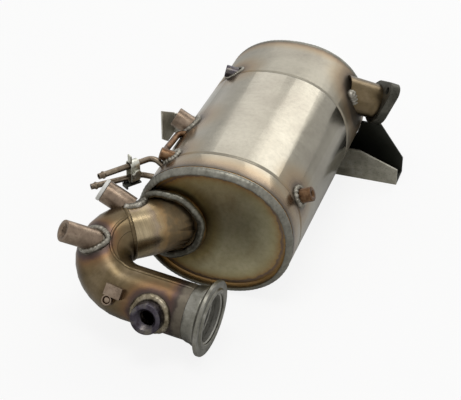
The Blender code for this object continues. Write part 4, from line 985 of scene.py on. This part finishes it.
def areaLight(name, box, aim):
    # a soft box: its power comes from the brightness that its face should have
    data = bpy.data.lights.new(name, "AREA")
    data.shape = "RECTANGLE"
    data.size = box["width"]
    data.size_y = box["height"]
    data.energy = box["radiance"] * math.pi * box["width"] * box["height"]
    lamp = bpy.data.objects.new(name, data)
    bpy.context.scene.collection.objects.link(lamp)
    facing = Vector(box["facing"]).normalized()
    across = Vector(box["across"])
    across = (across - facing * across.dot(facing)).normalized()
    turn = Matrix((across, facing.cross(across), facing)).transposed()
    lamp.location = aim + facing * box["distance"] + across * box["shift"]
    lamp.location += turn.col[1] * box["slide"]
    lamp.rotation_euler = turn.to_euler()
    lamp.visible_camera = False


# soft boxes aimed at the can: one for the front band, one for the middle section, and one
# overhead; sizes and distances in metres
studio = {
    "bandPanel": {"facing": (0.301, 0.854, 0.424), "across": (0.808, 0.008, -0.590),
                  "distance": 1.6, "shift": -0.245, "slide": -0.157, "width": 0.79,
                  "height": 0.55, "radiance": 2.6},
    "midPanel": {"facing": (0.301, 0.854, 0.424), "across": (0.808, 0.008, -0.590),
                 "distance": 1.6, "shift": -1.02, "slide": 0.09, "width": 0.74,
                 "height": 1.28, "radiance": 1.25},
    "topPanel": {"facing": (0.02, -0.12, 0.99), "across": (1.0, 0.0, 0.0),
                 "distance": 1.6, "shift": 0.0, "slide": 0.0, "width": 0.74,
                 "height": 0.56, "radiance": 5.0},
}
for lampName, box in studio.items():
    areaLight(lampName, box, at(0.0, 100.0, 0.0))

# the room is half as bright for the light on the object as for what is seen directly
white = (1.0, 1.0, 1.0, 1.0)
roomLight = 0.5
world = bpy.data.worlds.new("pale_studio")
bpy.context.scene.world = world
worldTree = emptyTree(world)
rays = addNode(worldTree, "LightPath").node.outputs
seen = addNode(worldTree, "Math", (rays["Is Camera Ray"], rays["Is Glossy Ray"]),
               operation="MAXIMUM")
seen = addNode(worldTree, "Math", (seen, rays["Is Transmission Ray"]), operation="MAXIMUM")
seen = addNode(worldTree, "Math", (seen, 1.0 - roomLight), operation="MULTIPLY")
strength = addNode(worldTree, "Math", (seen, roomLight), operation="ADD")
sky = addNode(worldTree, "Background", {"Color": white, "Strength": strength})
addNode(worldTree, "OutputWorld", {"Surface": sky})

# a matt pale floor that the camera sees nearly white, with the shadow left faint
floorLook = {"size": 6.0, "colour": "#efefed", "rough": 0.9, "lift": 0.86}
floorPaint = bpy.data.materials.new("matt_pale_floor")
floorTree = emptyTree(floorPaint)
paint = addNode(floorTree, "BsdfPrincipled", {"Base Color": linear(floorLook["colour"]),
                                              "Roughness": floorLook["rough"]})
glow = addNode(floorTree, "Emission", {"Color": white, "Strength": 1.0})
rays = addNode(floorTree, "LightPath").node.outputs
lifted = addNode(floorTree, "Math", (rays["Is Camera Ray"], floorLook["lift"]),
                 operation="MULTIPLY")
addNode(floorTree, "OutputMaterial",
        {"Surface": addNode(floorTree, "MixShader", (lifted, paint, glow))})
deselectAll()
bpy.ops.mesh.primitive_plane_add(size=floorLook["size"], location=(0.0, 0.0, 0.0))
floor = bpy.context.object
floor.name = "floor"
floor.data.materials.append(floorPaint)

# the photograph's viewpoint, fitted to the can's outlines: the focal length is in the
# photograph's pixels
view = {"place": (376.70, -1059.47, 783.39), "turn": 18.75622, "rise": 33.62140,
        "sensor": 36.0, "focalPixels": 1400, "photoWidth": 461}
cameraData = bpy.data.cameras.new("camera")
cameraData.sensor_width = view["sensor"]
cameraData.lens = view["sensor"] * view["focalPixels"] / view["photoWidth"]
camera = bpy.data.objects.new("camera", cameraData)
bpy.context.scene.collection.objects.link(camera)
camera.location = at(*view["place"])
camera.rotation_euler = (math.radians(90 - view["rise"]), 0.0, math.radians(view["turn"]))
bpy.context.scene.camera = camera
bpy.context.scene.view_settings.view_transform = "Standard"
print("stage made")
